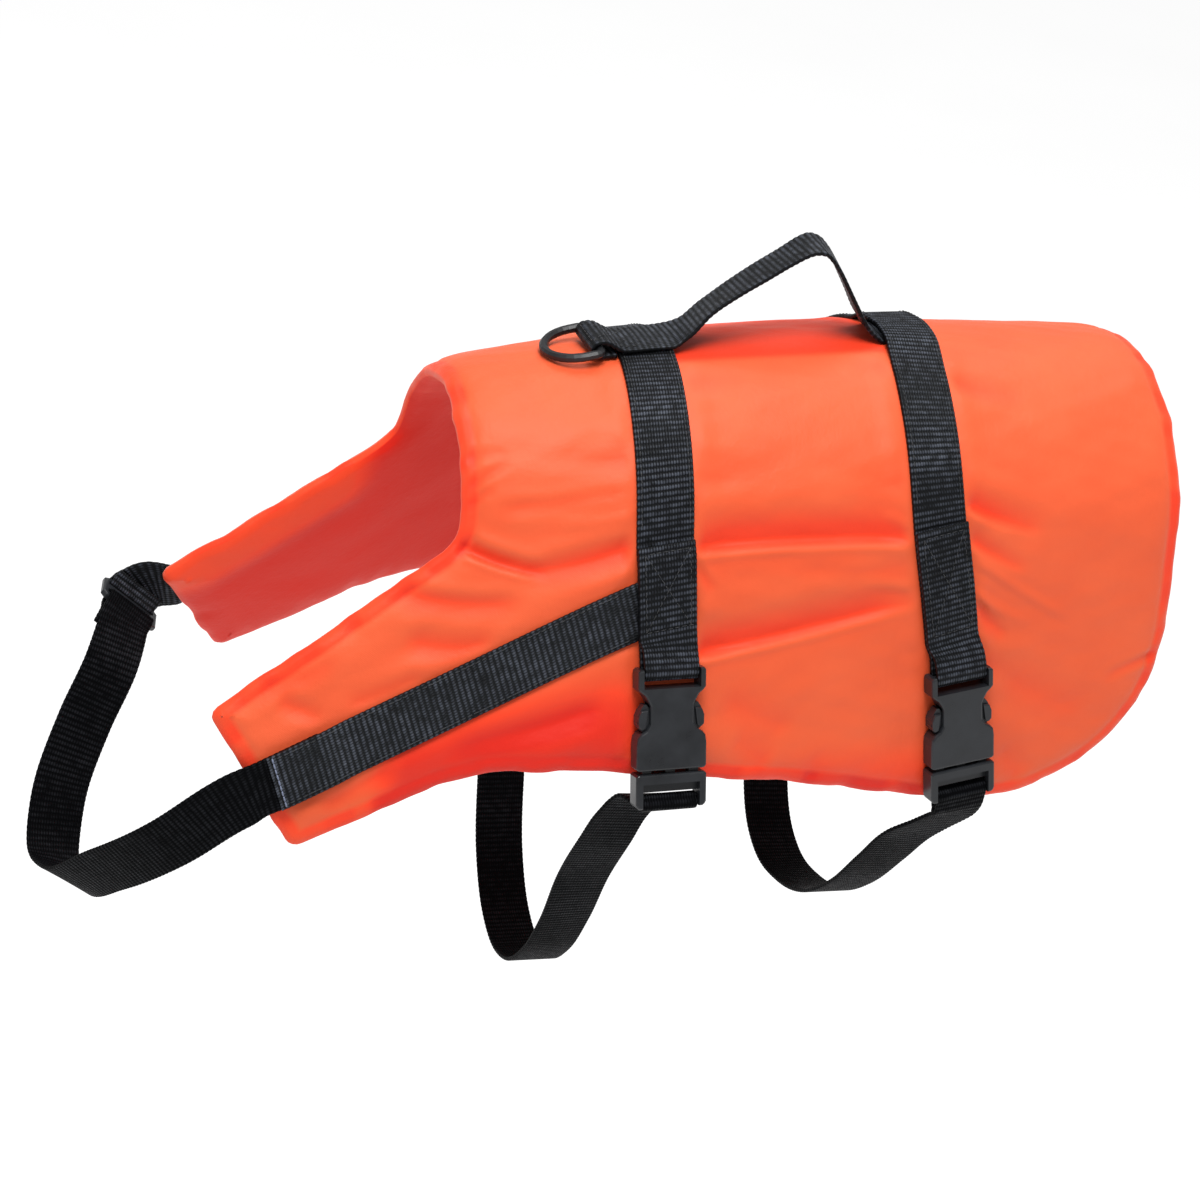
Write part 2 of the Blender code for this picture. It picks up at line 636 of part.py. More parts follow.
def sewn_and_free(flat, lift, flip, loop, finish, step=STRAP_STEP):
    """Rows of a strap that is sewn along the flat points and then runs free.

    The free part goes through the loop's rows to the finish.  The width points
    the other way than laid_rows gives it when flip is true.
    """
    inner, outer = laid_rows(flat, lift)
    if flip:
        inner, outer = outer[:, ::-1], inner[:, ::-1]
    start = np.concatenate([(inner + outer)[:, 1] / 2, unit(inner[:, 2] - inner[:, 0])], axis=1)
    knots = [start[-2:], np.array(loop).reshape(-1, 6), finish[:1]]
    free = resample(np.concatenate(knots), step)
    along = np.linalg.norm(start[-1, :3] - start[-2, :3])
    passed = np.linalg.norm(free[:, :3] - free[0, :3], axis=1) > along + step / 2
    path = np.concatenate([start, free[passed][:-1], finish])
    low, high = free_rows(path)
    sewn = len(start)
    return np.concatenate([inner, low[sewn:]]), np.concatenate([outer, high[sewn:]])


def build_belly_strap(lane):
    """Sewn over the far end of the girth strap, free under the belly, round the plug."""
    loop = {"front": FRONT_LOOP, "rear": REAR_LOOP}[lane]
    end = GIRTH_END[lane]
    root = lane_points(lane, end - 26.0, end + 5.0)
    origin, across, down, out = buckle_frame(lane)
    bar = origin + down * LAST_BAR + out * BUCKLE_LIFT
    finish = round_bar(bar, down, out, -across, loop[-1][:3], 10.0, BAR_WRAP_R, 1)
    lift = girth_lift(lane, root[:, 1]) + LAYER
    one, other = sewn_and_free(root, lift, True, loop, finish)
    return band("belly_strap_" + lane, one, other, "black_webbing")


# ---------------------------------------------------------------- chest straps

def chest_line(side):
    """Flat start, hem and direction of a slanted chest strap."""
    root = np.array(CHEST_ROOT)
    hem = np.array(CHEST_HEM[side])
    return root, hem, unit(hem - root)


def build_chest_side(side):
    root, hem, run = chest_line(side)
    length = np.linalg.norm(hem - root)
    along = np.linspace(0, length, int(length / STRAP_STEP) + 1)
    middle = (root + along[:, None] * run) * (1, side)
    lift = GAP + CHEST_EASE * along / length
    lift += LAYER * window(along, length - CHEST_TUCK - 1.0, length + 1.0, 9.0)
    inner, outer = laid_rows(middle, lift)
    name = {-1: "chest_strap_left", 1: "chest_strap_right"}[side]
    return band(name, inner, outer, "black_webbing")


def tucked(side):
    """Flat points and heights of a strap's end, sewn under a chest strap's hem."""
    root, hem, run = chest_line(side)
    along = np.append(np.linspace(-CHEST_TUCK, 0.0, 4), CHEST_PAST)
    lift = GAP + CHEST_EASE * (1 + (along > 0))
    lift[0] = GAP + CHEST_EASE * (1 - CHEST_TUCK / np.linalg.norm(hem - root))
    return (hem + along[:, None] * run) * (1, side), lift


def slider_bar(distance):
    """Middle of a slider bar, from the slider's middle along its length."""
    return np.array(SLIDER_AT) + np.array(SLIDER_DOWN) * distance


def slider_face():
    return unit(np.cross(SLIDER_ACROSS, SLIDER_DOWN))


SLIDER_BAR_OFF = (SLIDER["length"] - SLIDER["bar"]) / 2


def build_chest_free():
    """From under the left hem, a hanging loop, round the slider's lower bar."""
    finish = round_bar(slider_bar(SLIDER_BAR_OFF), SLIDER_DOWN, slider_face(),
                       SLIDER_ACROSS, CHEST_LOOP[-1][:3], 16.0, SLIDER_WRAP_R, -1)
    root, lift = tucked(-1)
    one, other = sewn_and_free(root, lift, False, CHEST_LOOP, finish)
    return band("chest_strap_free", one, other, "black_webbing")


def build_chest_tab():
    """From under the right hem, round the slider's upper bar."""
    bar = slider_bar(-SLIDER_BAR_OFF)
    root, lift = tucked(1)
    leaving = cloth(root[-1, 0], root[-1, 1], GAP)
    finish = round_bar(bar, -np.array(SLIDER_DOWN), slider_face(), SLIDER_ACROSS,
                       leaving, 9.0, SLIDER_WRAP_R, 1)[2:]
    one, other = sewn_and_free(root, lift, True, TAB_LOOP, finish, 3.0)
    return band("chest_tab", one, other, "black_webbing")


# ---------------------------------------------------------------- handle and D-ring

def dring_bar():
    return cloth(DRING_X, 0.0, DRING_LIFT)


def dring_tilt():
    """Angle that the D-ring hangs below level, at rest on the cloth."""
    rest = cloth(DRING_X - DRING_LENGTH, 0.0, DRING_REST)
    drop = dring_bar() - rest
    return math.atan2(drop[2], drop[0])


def level(middle):
    """Path rows whose width lies straight across the spine."""
    return np.concatenate([middle, np.broadcast_to((0.0, 1.0, 0.0), middle.shape)], axis=1)


def build_handle():
    """Round the D-ring's bar, over the front girth strap, up and under the rear one."""
    along, _, out = shell_frame(DRING_X, 0.0)
    wrap_r = DRING_WIRE + GAP + WEB_T / 2
    pairs = arc_pairs(-90.0, -270.0, wrap_r)
    bend = dring_bar() + pairs[:, :1] * along + pairs[:, 1:] * out
    lower = [cloth(x, 0.0, DRING_LIFT - wrap_r) for x in HANDLE_UNDER_TAB]
    drop = [cloth(x, 0.0, lift) for x, lift in HANDLE_DROP]
    seat = GAP + LAYER + CROWN_EXTRA
    over = [(x, seat + lift) for x, lift in HANDLE_OVER]
    under = [(x, GAP) for x in HANDLE_UNDER]
    laid = [laid_rows(np.array([(x, 0.0) for x, _ in zone]), [lift for _, lift in zone])
            for zone in (over, under)]
    arch = np.array([(x, 0.0, z, lean_x, 1.0, lean_z) for x, z, lean_x, lean_z in HANDLE])
    tab = level(np.concatenate([lower, bend, drop]))
    ends = [level((inner + outer)[:, 1] / 2) for inner, outer in laid]
    free = resample(np.concatenate([ends[0][-1:], arch, ends[1][:1]]), HANDLE_STEP)[1:-1]
    faces = free_rows(np.concatenate([tab, ends[0], free, ends[1]]))
    first = len(tab)
    for rows, laid_over, laid_under in zip(faces, *laid):
        rows[first:first + len(laid_over)] = laid_over
        rows[-len(laid_under):] = laid_under
    return band("handle_strap", faces[0], faces[1], "black_webbing")


def build_dring():
    """Closed D of round wire, its straight bar on the hinge axis."""
    straight = DRING_HALF - DRING_CORNER
    turns = [(-DRING_CORNER + DRING_CORNER * math.cos(a), straight + DRING_CORNER * math.sin(a))
             for a in np.linspace(0, math.pi / 2, 4)]
    bow_x = DRING_HALF - DRING_LENGTH
    bow = [(bow_x - DRING_HALF * math.sin(a), DRING_HALF * math.cos(a))
           for a in np.linspace(0, math.pi / 2, 9)]
    half = [(0.0, 0.0)] + turns + bow
    path = np.array(half + [(x, -y) for x, y in reversed(half[1:-1])])
    run = unit(np.roll(path, -1, axis=0) - np.roll(path, 1, axis=0))
    side = np.stack([run[:, 1], -run[:, 0]], axis=-1)
    sides = 8
    points = []
    for p, n in zip(path, side):
        for k in range(sides):
            a = 2 * math.pi * (k + 0.5) / sides
            points.append((p[0] + n[0] * DRING_WIRE * math.cos(a),
                           p[1] + n[1] * DRING_WIRE * math.cos(a),
                           DRING_WIRE * math.sin(a)))
    count = len(path)
    faces = []
    for i in range(count):
        for k in range(sides):
            j, m = (i + 1) % count, (k + 1) % sides
            faces.append((i * sides + k, i * sides + m, j * sides + m, j * sides + k))
    ring = add_object("d_ring", closed_mesh("d_ring", points, faces, 50.0), "black_steel")
    ring.location = Vector(dring_bar() * MM)
    ring.rotation_euler = (0.0, -dring_tilt(), 0.0)
    return ring


# ---------------------------------------------------------------- moulded pieces

def prism(outline, thick, bevel=0.0):
    """Temporary object: a flat outline of (across, down), made thick."""
    work = bmesh.new()
    low = [work.verts.new((u * MM, v * MM, -thick / 2 * MM)) for u, v in outline]
    high = [work.verts.new((u * MM, v * MM, thick / 2 * MM)) for u, v in outline]
    work.faces.new(low)
    work.faces.new(high)
    for i in range(len(outline)):
        j = (i + 1) % len(outline)
        work.faces.new((low[i], low[j], high[j], high[i]))
    bmesh.ops.recalc_face_normals(work, faces=work.faces)
    mesh = bpy.data.meshes.new("prism")
    work.to_mesh(mesh)
    work.free()
    obj = bpy.data.objects.new("prism", mesh)
    bpy.context.scene.collection.objects.link(obj)
    if bevel:
        soft = obj.modifiers.new("bevel", "BEVEL")
        soft.width = bevel * MM
        soft.segments = 2
        soft.limit_method = "ANGLE"
        soft.angle_limit = math.radians(50)
    return obj


def block(half, low, high, thick, lift=0.0):
    """Temporary box, centred across, from low to high down the strap."""
    box = prism([(-half, low), (half, low), (half, high), (-half, high)], thick)
    box.location = (0.0, 0.0, lift * MM)
    return box


def rod(half, at, radius):
    """Temporary round bar across the strap."""
    mesh = bpy.data.meshes.new("rod")
    work = bmesh.new()
    place = Matrix.Translation((0, at * MM, 0)) @ Matrix.Rotation(math.pi / 2, 4, "Y")
    bmesh.ops.create_cone(work, cap_ends=True, segments=12, radius1=radius * MM,
                          radius2=radius * MM, depth=2 * half * MM, matrix=place)
    work.to_mesh(mesh)
    work.free()
    obj = bpy.data.objects.new("rod", mesh)
    bpy.context.scene.collection.objects.link(obj)
    return obj


def mirrored(outline):
    """Closed outline from (down, half width) rows."""
    return [(half, v) for v, half in outline] + [(-half, v) for v, half in reversed(outline)]


def moulded(name, blank, cuts, joins):
    """Mesh of the blank, less its cuts, plus its joins."""
    for operation, tools in (("DIFFERENCE", cuts), ("UNION", joins)):
        for tool in tools:
            step = blank.modifiers.new(operation.lower(), "BOOLEAN")
            step.operation = operation
            step.object = tool
    bpy.context.view_layer.update()
    done = blank.evaluated_get(bpy.context.evaluated_depsgraph_get())
    mesh = bpy.data.meshes.new_from_object(done)
    mesh.name = name
    for used in [blank] + cuts + joins:
        bpy.data.objects.remove(used)
    mesh.shade_smooth()
    mesh.set_sharp_from_angle(angle=math.radians(35))
    return mesh


def socket_mesh():
    """Socket: first bar between two posts, a waist, side windows, a cavity."""
    blank = prism(mirrored(SOCKET_OUTLINE), BUCKLE_T, BUCKLE_BEVEL)
    slot = block(SLOT_HALF, *SOCKET_SLOT, BUCKLE_T + 4)
    cavity = block(CAVITY_HALF, *SOCKET_CAVITY, CAVITY_T)
    return moulded("buckle_socket", blank, [slot, cavity], [rod(BAR_HALF, FIRST_BAR, BAR_R)])


def plug_mesh():
    """Plug: last bar between two posts, two sprung prongs and a middle tongue."""
    blank = prism(mirrored(PLUG_OUTLINE), BUCKLE_T, BUCKLE_BEVEL)
    slot = block(SLOT_HALF, *PLUG_SLOT, BUCKLE_T + 4)
    recess = block(SLOT_HALF, *PLUG_RECESS, BUCKLE_T, BUCKLE_T / 2 + RECESS_FLOOR)
    joins = [rod(BAR_HALF, LAST_BAR, BAR_R), block(*TONGUE)]
    for side in (-1, 1):
        outer = [(side * out, v) for v, _, out in PRONG_OUTLINE]
        inner = [(side * inn, v) for v, inn, _ in reversed(PRONG_OUTLINE)]
        joins.append(prism(outer + inner, PRONG_T))
        joins.append(prism([(side * u, v) for u, v in PAD_OUTLINE], PAD_T, PAD_BEVEL))
    return moulded("buckle_plug", blank, [slot, recess], joins)


def build_buckle(lane, socket, plug):
    origin, across, down, out = buckle_frame(lane)
    turn = Matrix((across, down, out)).transposed().to_4x4()
    turn.translation = Vector((origin + out * BUCKLE_LIFT) * MM)
    for kind, mesh in (("socket", socket), ("plug", plug)):
        piece = add_object("buckle_%s_%s" % (lane, kind), mesh, "black_plastic")
        piece.matrix_world = turn


def build_slider():
    half = SLIDER["width"] / 2
    end = SLIDER["length"] / 2
    outline = [(half - SLIDER_CORNER, -end), (half, SLIDER_CORNER - end),
               (half, end - SLIDER_CORNER), (half - SLIDER_CORNER, end)]
    outline += [(-u, v) for u, v in reversed(outline)]
    blank = prism(outline, SLIDER["thick"], SLIDER_BEVEL)
    slots = []
    for sense in (-1, 1):
        near = SLIDER["middle"] / 2
        far = end - SLIDER["bar"]
        low, high = sorted((sense * near, sense * far))
        slots.append(block(half - SLIDER["rail"], low, high, SLIDER["thick"] + 4))
    mesh = moulded("chest_slider", blank, slots, [])
    piece = add_object("chest_slider", mesh, "black_plastic")
    across = unit(SLIDER_ACROSS)
    out = slider_face()
    turn = Matrix((across, np.cross(out, across), out)).transposed().to_4x4()
    turn.translation = Vector(SLIDER_AT) * MM
    piece.matrix_world = turn


def main():
    clear_scene()
    build_body()
    for lane in ("front", "rear"):
        build_girth_strap(lane)
        build_belly_strap(lane)
    for side in (-1, 1):
        build_chest_side(side)
    build_chest_free()
    build_chest_tab()
    build_handle()
    build_dring()
    socket, plug = socket_mesh(), plug_mesh()
    for lane in ("front", "rear"):
        build_buckle(lane, socket, plug)
    build_slider()


main()
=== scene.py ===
"""Looks of the dog life jacket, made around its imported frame.

Tables are in millimetres and degrees, in the part's own frame: +X towards the
tail, -Y the dog's left side, +Z up.  The cloth and the webbing repeat the part's
driving sizes, so each finer piece lies where its plain solid does.
"""
import math

import bmesh
import bpy
import numpy as np
from mathutils import Matrix, Vector
from mathutils.geometry import delaunay_2d_cdt


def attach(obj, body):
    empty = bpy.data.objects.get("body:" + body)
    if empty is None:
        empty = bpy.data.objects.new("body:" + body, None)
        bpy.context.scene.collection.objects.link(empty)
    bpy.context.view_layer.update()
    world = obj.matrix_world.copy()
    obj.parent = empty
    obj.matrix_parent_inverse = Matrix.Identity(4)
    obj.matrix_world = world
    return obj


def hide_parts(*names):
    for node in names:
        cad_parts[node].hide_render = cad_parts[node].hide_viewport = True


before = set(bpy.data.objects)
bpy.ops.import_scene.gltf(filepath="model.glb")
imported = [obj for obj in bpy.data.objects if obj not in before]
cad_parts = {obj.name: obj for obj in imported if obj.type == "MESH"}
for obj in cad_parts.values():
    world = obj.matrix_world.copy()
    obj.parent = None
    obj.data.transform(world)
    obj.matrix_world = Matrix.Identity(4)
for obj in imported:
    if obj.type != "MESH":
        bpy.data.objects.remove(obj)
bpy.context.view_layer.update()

MM = 0.001

# ---------- the part's driving sizes

WALL = 12
RIM = 4
PILLOW = 20
EASE = math.radians(8)
SECTION_COLUMNS = ("x", "crown", "radius", "flare")
SECTIONS = (
    (-253, -23, 30, 67), (-158, -9, 58, 70), (-88, 3, 75, 70.5), (22, 14, 82, 78),
    (112, 17, 82, 82), (192, 17, 80.5, 83),
)
CUT = (  # x, girth, corner radius
    (-149.5, 0, 0), (-150, 88, 16), (-252, 141, 4), (-217, 206, 6), (-143, 189, 90),
    (82, 238, 120), (194, 240, 80), (185.5, 76, 120), (185.5, 0, 0),
)
WEB = 25
WEB_T = 1.8
GAP = 0.45
LAYER = WEB_T + GAP
CROWN_EXTRA = 0.15
STRAP_STEP = 8
BEND_STEP = 1.3
LANE_COLUMNS = ("girth", "front", "rear")
LANES = (
    (0, -60, 65), (60, -64, 60), (100, -64, 62), (140, -62, 71), (180, -59.5, 80.5),
    (240, -57.5, 90),
)
GIRTH_END = {"front": 196, "rear": 226}
BOX_TOP = {"front": 104, "rear": 106}
SOCKET_TOP = {"front": 157.5, "rear": 172}
CHEST_ROOT = (-66, 129.5)
CHEST_HEM = {-1: (-225, 175.8), 1: (-234, 159.5)}
CHEST_TUCK = 22
CHEST_PAST = 5
CHEST_EASE = 0.5
ROOT_UNDER = 26  # a belly strap's root, over the end of its girth strap and past it
ROOT_PAST = 5
DOUBLED = 14  # the folded-back layer ends this far above the socket
BUCKLE_SPAN = (10, 46)
BAR_WRAP_R = 1.6 + GAP + WEB_T / 2
FIRST_BAR = 1.8
LAST_BAR = 59.4
BUCKLE_LIFT = 5.2
SLIDER_BAR_OFF = (17.6 - 3.2) / 2
SLIDER_WRAP_R = 3.25
SLIDER_AT = np.array((-261.8, 79, -164.6))
SLIDER_ACROSS = (0.799, -0.186, -0.571)
SLIDER_DOWN = np.array((-0.205, -0.978, 0.031))
DRING_X = -82
DRING_WIRE = 2
DRING_LIFT = 4.5
HANDLE_UNDER_TAB = (-74.3, -78.2)
HANDLE_DROP = ((-78.6, 7.4), (-75.6, 5.6))
HANDLE_OVER = ((-71.6, 0.5), (-67, 0), (-60, 0), (-53, 0), (-47.5, 0.3))
HANDLE_UNDER = (50.6, 56, 63, 70.5)
HANDLE_STEP = 5
SIDEWAYS = (0, 1, 0)
HANDLE = (  # x and z of the free arch, then its width's lean along x and up
    (-42.5, 13.6, 0.06, -0.08), (-32, 24.4, 0.12, -0.17), (-21, 33.6, 0.11, -0.15),
    (-9.5, 42, 0.09, -0.12), (2, 50, 0.09, -0.11), (8.5, 54.2, 0.10, -0.06),
    (14, 56.3, 0.11, 0), (19.6, 54.4, 0.12, 0.05), (25, 49, 0.12, 0.09),
    (31.6, 39.8, 0.12, 0.09), (38, 30.4, 0.11, 0.08), (43.6, 22.4, 0.08, 0.06),
    (48.6, 17.6, 0.04, 0.03),
)
# Free straps: x, y, z of the middle, then the direction of the width where it isn't +x
FRONT_LOOP = (
    (-59, 112.6, -162), (-59, 110.5, -188), (-60, 103, -228), (-60, 93, -272), (-60, 77, -310),
    (-60, 56, -330), (-60, 33, -336.5), (-60, 11, -330), (-60, -9, -311), (-61, -29, -280),
    (-64, -51, -240, 1, -0.05, -0.05), (-66, -74, -206, 1, -0.05, -0.05), (-64.5, -88, -181),
    (-61, -99, -166.5),
)
REAR_LOOP = (
    (89.5, 105.4, -181), (89, 104, -204), (88, 98.5, -238), (86, 88, -273), (85, 71, -292),
    (84, 48, -299.5), (84, 20, -296), (83, -9, -283), (83, -36, -260),
    (83, -60, -230, 1, -0.04, -0.04), (83.6, -79.6, -204.6, 1, -0.06, -0.04),
    (87.6, -91.6, -191, 0.98, -0.06, 0.06), (90.7, -101.4, -179.6, 0.98, -0.04, 0.12),
)
CHEST_LOOP = (
    (-240, -84, -173, 0.5, -0.3, -0.8), (-264, -72, -200, 0.7, -0.28, -0.66),
    (-285, -42, -233, 0.72, -0.28, -0.6), (-297, -8, -259, 0.86, -0.12, -0.5),
    (-299.3, 13, -261, 0.92, -0.06, -0.36), (-296, 31, -239, 0.92, -0.2, -0.2),
    (-285, 43.5, -208.5, 0.92, -0.3, -0.2), (-273, 49.4, -179, 0.88, -0.25, -0.4),
)
TAB_LOOP = ((-251.3, 83.2, -156.3, 0.5, -0.08, -0.86),)

# ---------- sizes of the finer form

EDGE_FINE = 2.4  # spacing of points round the cut
FACE_GRID = (1.6, (1.1, 2.4, 3.7, 4.8, 6, 7.4))  # spacing, rows along the rim
LINING_GRID = (3.6, (1.4, 3.4, 6, 9))
ROUND_RIM = 0.9  # how far the rounded edge stands out
RIM_ANGLES = (36, 66, 90, 114, 144)
STRAP_EDGE = 12  # wrinkles fade towards this distance from a strap's middle
STRAP_FADE = 7
INLAND = 14  # slow folds fade over this distance from the rim
WAVE_REACH = 18  # and the rim's own waves fade inward over this one
PUCKER = 6.4  # length of the puckers along the rim
RIM_WAVE = 17  # and of its slower waves
PUCKERS = ((0.95, 3.6, 2.4), (0.35, 8, 4))  # depth, distance in, spread
LINING_PUCKER = (0.6, 5, 4)
SLACK = ((0.36, 11, 90, 34), (0.17, 12, 34, 15))  # height, seed, length along x and girth
LINING_SLACK = ((0.5, 31, 90, 60), (0.175, 32, 50, 26))
SCALLOPS = ((0.5, 15, 41), (0.45, PUCKER, 42))  # depth, length, seed
CALM = 10  # puckers fade within this distance of a sharp corner
CREASE_GAIN = 1.35
CREASE_SOFT = 1.2  # half width of a crease's rounded bottom
CREASE_ROLL = (0.34, 1.5, 0.75)  # soft roll beside a crease: height, distance, spread
CREASE_FULL_SHADE = 3  # depth at which a crease has its deepest painted shade
CREST_PAINTED_SHADE = (0.6, -50, 48, 8, -21, 6)  # painted shade on the top past its crest: how much, x range, ease, girth, reach
# where that painted shade ends in girth, and over what it fades
CREST_END = (60, 40)
LINING_PAINTED_SHADE = 1  # how much painted shade the lining has
WING_TOP = (-262, -172, 16, 0.52, 128)  # wing's upper half: x range, ease, lower line
WING_ROLL = (2.6, 24, 8)  # its lining rolls out: height, distance, spread
WING_LIT = (0.62, 0.3, 19, 51)  # painted light above the roll: how much, its line's waves
RIM_PAINTED_SHADE = (0.58, 6)  # painted shade along the puckered rim: how much, how far in
RIM_GROOVE = (0.55, 6.2, 1.5)  # line where the folded rim meets the open cloth
SHADES = (  # painted shade low on the sides: how much, x range, ease, girth, reach
    (0.92, -168, -84, 22, 148, 34),
    (0.45, -50, 70, 20, 200, 26),
)
BULGE = (0.9, 18, 5.5)  # cloth swells beside a strap: height, distance, spread
CHEST_BULGE = 0.7  # share of it beside a chest strap

# Creases pulled into the cloth: x and girth of both ends, bow sideways, spread above and
# below, depth at the first end and the last
LEFT_CREASES = (
    (-152, 88, -116, 108.5, 1.5, 4, 1.9, 3.6, 2.2), (-121, 107, -72, 102.5, 2, 6, 7, 1.6, 3),
    (-132, 77, -80, 80, 1, 3, 4, 0.7, 0.5), (-108, 89, -74, 90, 1, 3, 3, -0.4, -0.8),
    (-174, 104.5, -126, 119, 2, 4, 7, 2, 1.2), (-170, 126, -136, 134, 2, 7, 6, 1.4, 1.4),
    (-194, 149, -164, 145, 1, 6, 5, 1, 1.6), (-223, 141, -206, 152, 0, 4, 4, 1.2, 0.6),
    (-236, 136, -200, 129, 1.5, 5, 5, 1, 0.6), (-149, 73.5, -136, 68, -0.5, 2.5, 2.2, 1.3, 0.3),
    (-149, 66, -130, 58.5, -1, 3, 2.4, 1.5, 0.4), (-149, 50, -130, 54, 0, 3, 3, 0.8, 0.3),
    (-54, 107.5, 53, 111, -0.5, 13, 3, 3.6, 3.2), (-53, 113, -40, 128, 0, 2.4, 4, 1.8, 0.4),
    (36, 99.5, 54, 107.5, 0, 2.4, 2.4, -0.3, -0.8),
    (26, 129.5, 54, 133.5, 0, 2.8, 2.8, -0.2, -0.8), (-54, 155, 52, 140.5, 2.5, 12, 2.8, 3.6, 2),
    (-12, 122, 54, 124, 2, 5, 5, 0.3, 0.8), (-32, 176, 0, 195, 1, 9, 9, 0.8, 0.7),
    (-26, 196, -8, 209, 0, 7, 7, 0.6, 1.1), (14, 208, 22, 226, 1, 8, 8, 0.4, 0.9),
    (-54, 77, -14, 82, 1, 11, 10, 0.8, 0.2), (-52, 31, -20, 33, 0, 7, 7, 1, 0.2),
    (20, 90, 50, 84, 1, 8, 8, 0.3, 1.3), (30, 26, 54, 30, 0, 6, 6, 0.2, 1),
    (76, 37, 110, 47, 1, 8, 7, 1.6, 0.3), (75, 95, 114, 108.5, 1.5, 8, 3, 3, 0.8),
    (76, 110.5, 108, 127, 0.5, 5, 2.2, 2.2, 0.7), (82, 121, 134, 150, 1, 2.4, 2.4, -1.2, -0.4),
    (82, 135, 112, 151.5, 1, 2.4, 2.4, -1.4, -0.4), (84, 142, 104, 159, 0, 3, 5, 2.2, 0.6),
    (87, 168, 110, 176, 0, 6, 5, 1.2, 0.3), (160, 180, 190, 168, -1, 2.6, 2.6, 0.4, 1.4),
    (108, 178, 150, 196, 2, 11, 10, 0.8, 0.4), (112, 214, 124, 229, 1, 8, 8, 0.4, 0.9),
    (-90, 172, -150, 176, 2, 7, 7, 2, 0.8), (-176, 178, -204, 190, 1, 6, 5, 1.2, 1),
    (-108, 60, -76, 66, 1, 9, 9, 0.2, 1.2),
)
RIGHT_CREASES = (
    (-150, 86, -114, 110, 2, 5.5, 2.4, 2.6, 2), (-128, 118, -72, 108, 2, 9, 8, 1.8, 3.2),
    (-172, 112, -134, 121, 1, 7, 6, 1.8, 1.2), (-180, 134, -146, 141, 2, 7, 6, 1.2, 1.5),
    (-226, 137, -206, 146, 1, 5, 4, 1.3, 0.5), (-242, 150, -226, 148, 0, 4, 4, 0.8, 0.8),
    (-149, 66, -126, 58, -1, 3, 2.6, 1.5, 0.4), (-149, 40, -128, 45, 1, 6, 5, 1.2, 0.3),
    (-54, 114, 52, 107, -2, 12, 3.2, 3, 3.4), (-52, 102, -34, 92, 0, 2.8, 3.4, 1.6, 0.3),
    (-50, 128, -22, 124, 0, 2.4, 2.4, -1.2, -0.3), (-52, 148, 50, 160, 3, 11, 3, 2.2, 3.4),
    (20, 184, 58, 176, 1, 7, 6, 0.6, 2), (-30, 192, -14, 210, 1, 8, 8, 0.6, 1),
    (-54, 72, -18, 66, 1, 10, 9, 1.6, 0.3), (16, 70, 48, 78, 1, 9, 8, 0.3, 1.4),
    (74, 104, 122, 94, -2, 7, 3, 2.8, 0.8), (76, 122, 132, 144, 3, 6, 2.6, 2.4, 0.8),
    (80, 133, 116, 152, 1, 2.4, 2.4, -1.2, -0.4), (80, 144, 104, 160, 1, 6, 6, 1.8, 0.6),
    (108, 170, 150, 186, 2, 9, 8, 1.6, 0.8), (158, 148, 189, 154, 1, 2.8, 2.8, 0.5, 1.4),
    (128, 212, 138, 230, 1, 8, 8, 0.4, 0.9), (-92, 178, -140, 168, 2, 7, 7, 1.6, 1),
    (-196, 180, -214, 192, 1, 6, 5, 1, 1.2), (100, 40, 76, 32, 1, 8, 7, 0.3, 1.4),
)

RIB = 2.6  # webbing ribs, along the strap
RIB_H = 0.32
RIB_ROWS = 5  # rows of points to a rib
RIB_MIDDLE = 0.7
WEB_COLUMN = 1.25  # yarns across the webbing
BOX_MARGIN = 3  # from a strap's end to its box of stitches
ROOT_BOX = 25  # length of the box at a belly strap's root
TAB_BOX = (16, 38)  # and its ends on the handle strap
BOX_REACH = 0.78  # seams' share of the strap's half width
EDGE_REACH = 0.84
HEM_REACH = 0.93
EDGE_MARGIN = 4  # edge seams stop this far from a strap's end
CHEST_SEAM = 16  # and start here on the chest straps
HEM_LINE = 2.4  # line across a chest strap's end, from the end
SEAM_STEP = 1.5
BLACK_STITCH = (2.2, 0.9, 0.18)  # length, gap, radius
PALE_STITCH = (2.4, 0.05, 0.42)
STITCH_SIDES = 6
STITCH_LIFT = 0.18  # a stitch's middle stands this much over its ends

# Camera: eye, where it looks and which way is right
EYE = (-477.8, -1060.8, 443.3)
LOOK = (0.32932, 0.83334, -0.44395)
LOOK_RIGHT = (0.9442, -0.2935, 0.14946)
LENS = 82.4
SENSOR = 36
FLOOR_Z = -0.60  # metres, like all of the stage
FLOOR_REACH = 50.0


# ---------- curves

def hermite(knots, values, at):
    """Smooth curve through the values at the knots; values may have columns."""
    knots, values, at = (np.asarray(part, float) for part in (knots, values, at))
    slopes = np.gradient(values, knots, axis=0)
    i = np.clip(np.searchsorted(knots, at) - 1, 0, len(knots) - 2)
    span = knots[i + 1] - knots[i]
    t = (at - knots[i]) / span
    if values.ndim > 1:
        span = span[..., None]
        t = t[..., None]
    ease = t * t * (3 - 2 * t)
    return ((1 - ease) * values[i] + ease * values[i + 1]
            + span * (t * (1 - t) ** 2 * slopes[i] - t * t * (1 - t) * slopes[i + 1]))


def table(rows, names, name, at):
    """One named column of a table, as a smooth curve over its first column."""
    rows = np.array(rows)
    return hermite(rows[:, 0], rows[:, names.index(name)], at)


def resample(points, step):
    """Points every step or so along a smooth curve through the given points."""
    along = arc_length(points[:, :3])
    count = max(2, math.ceil(along[-1] / step) + 1)
    return hermite(along, points, np.linspace(0, along[-1], count))


def arc_length(points):
    return np.append(0, np.cumsum(np.linalg.norm(np.diff(points, axis=0), axis=1)))


def columns(*parts):
    """Arrays side by side along a new last axis."""
    return np.stack(np.broadcast_arrays(*parts), axis=-1)


def unit(vectors):
    return vectors / np.linalg.norm(vectors, axis=-1, keepdims=True)


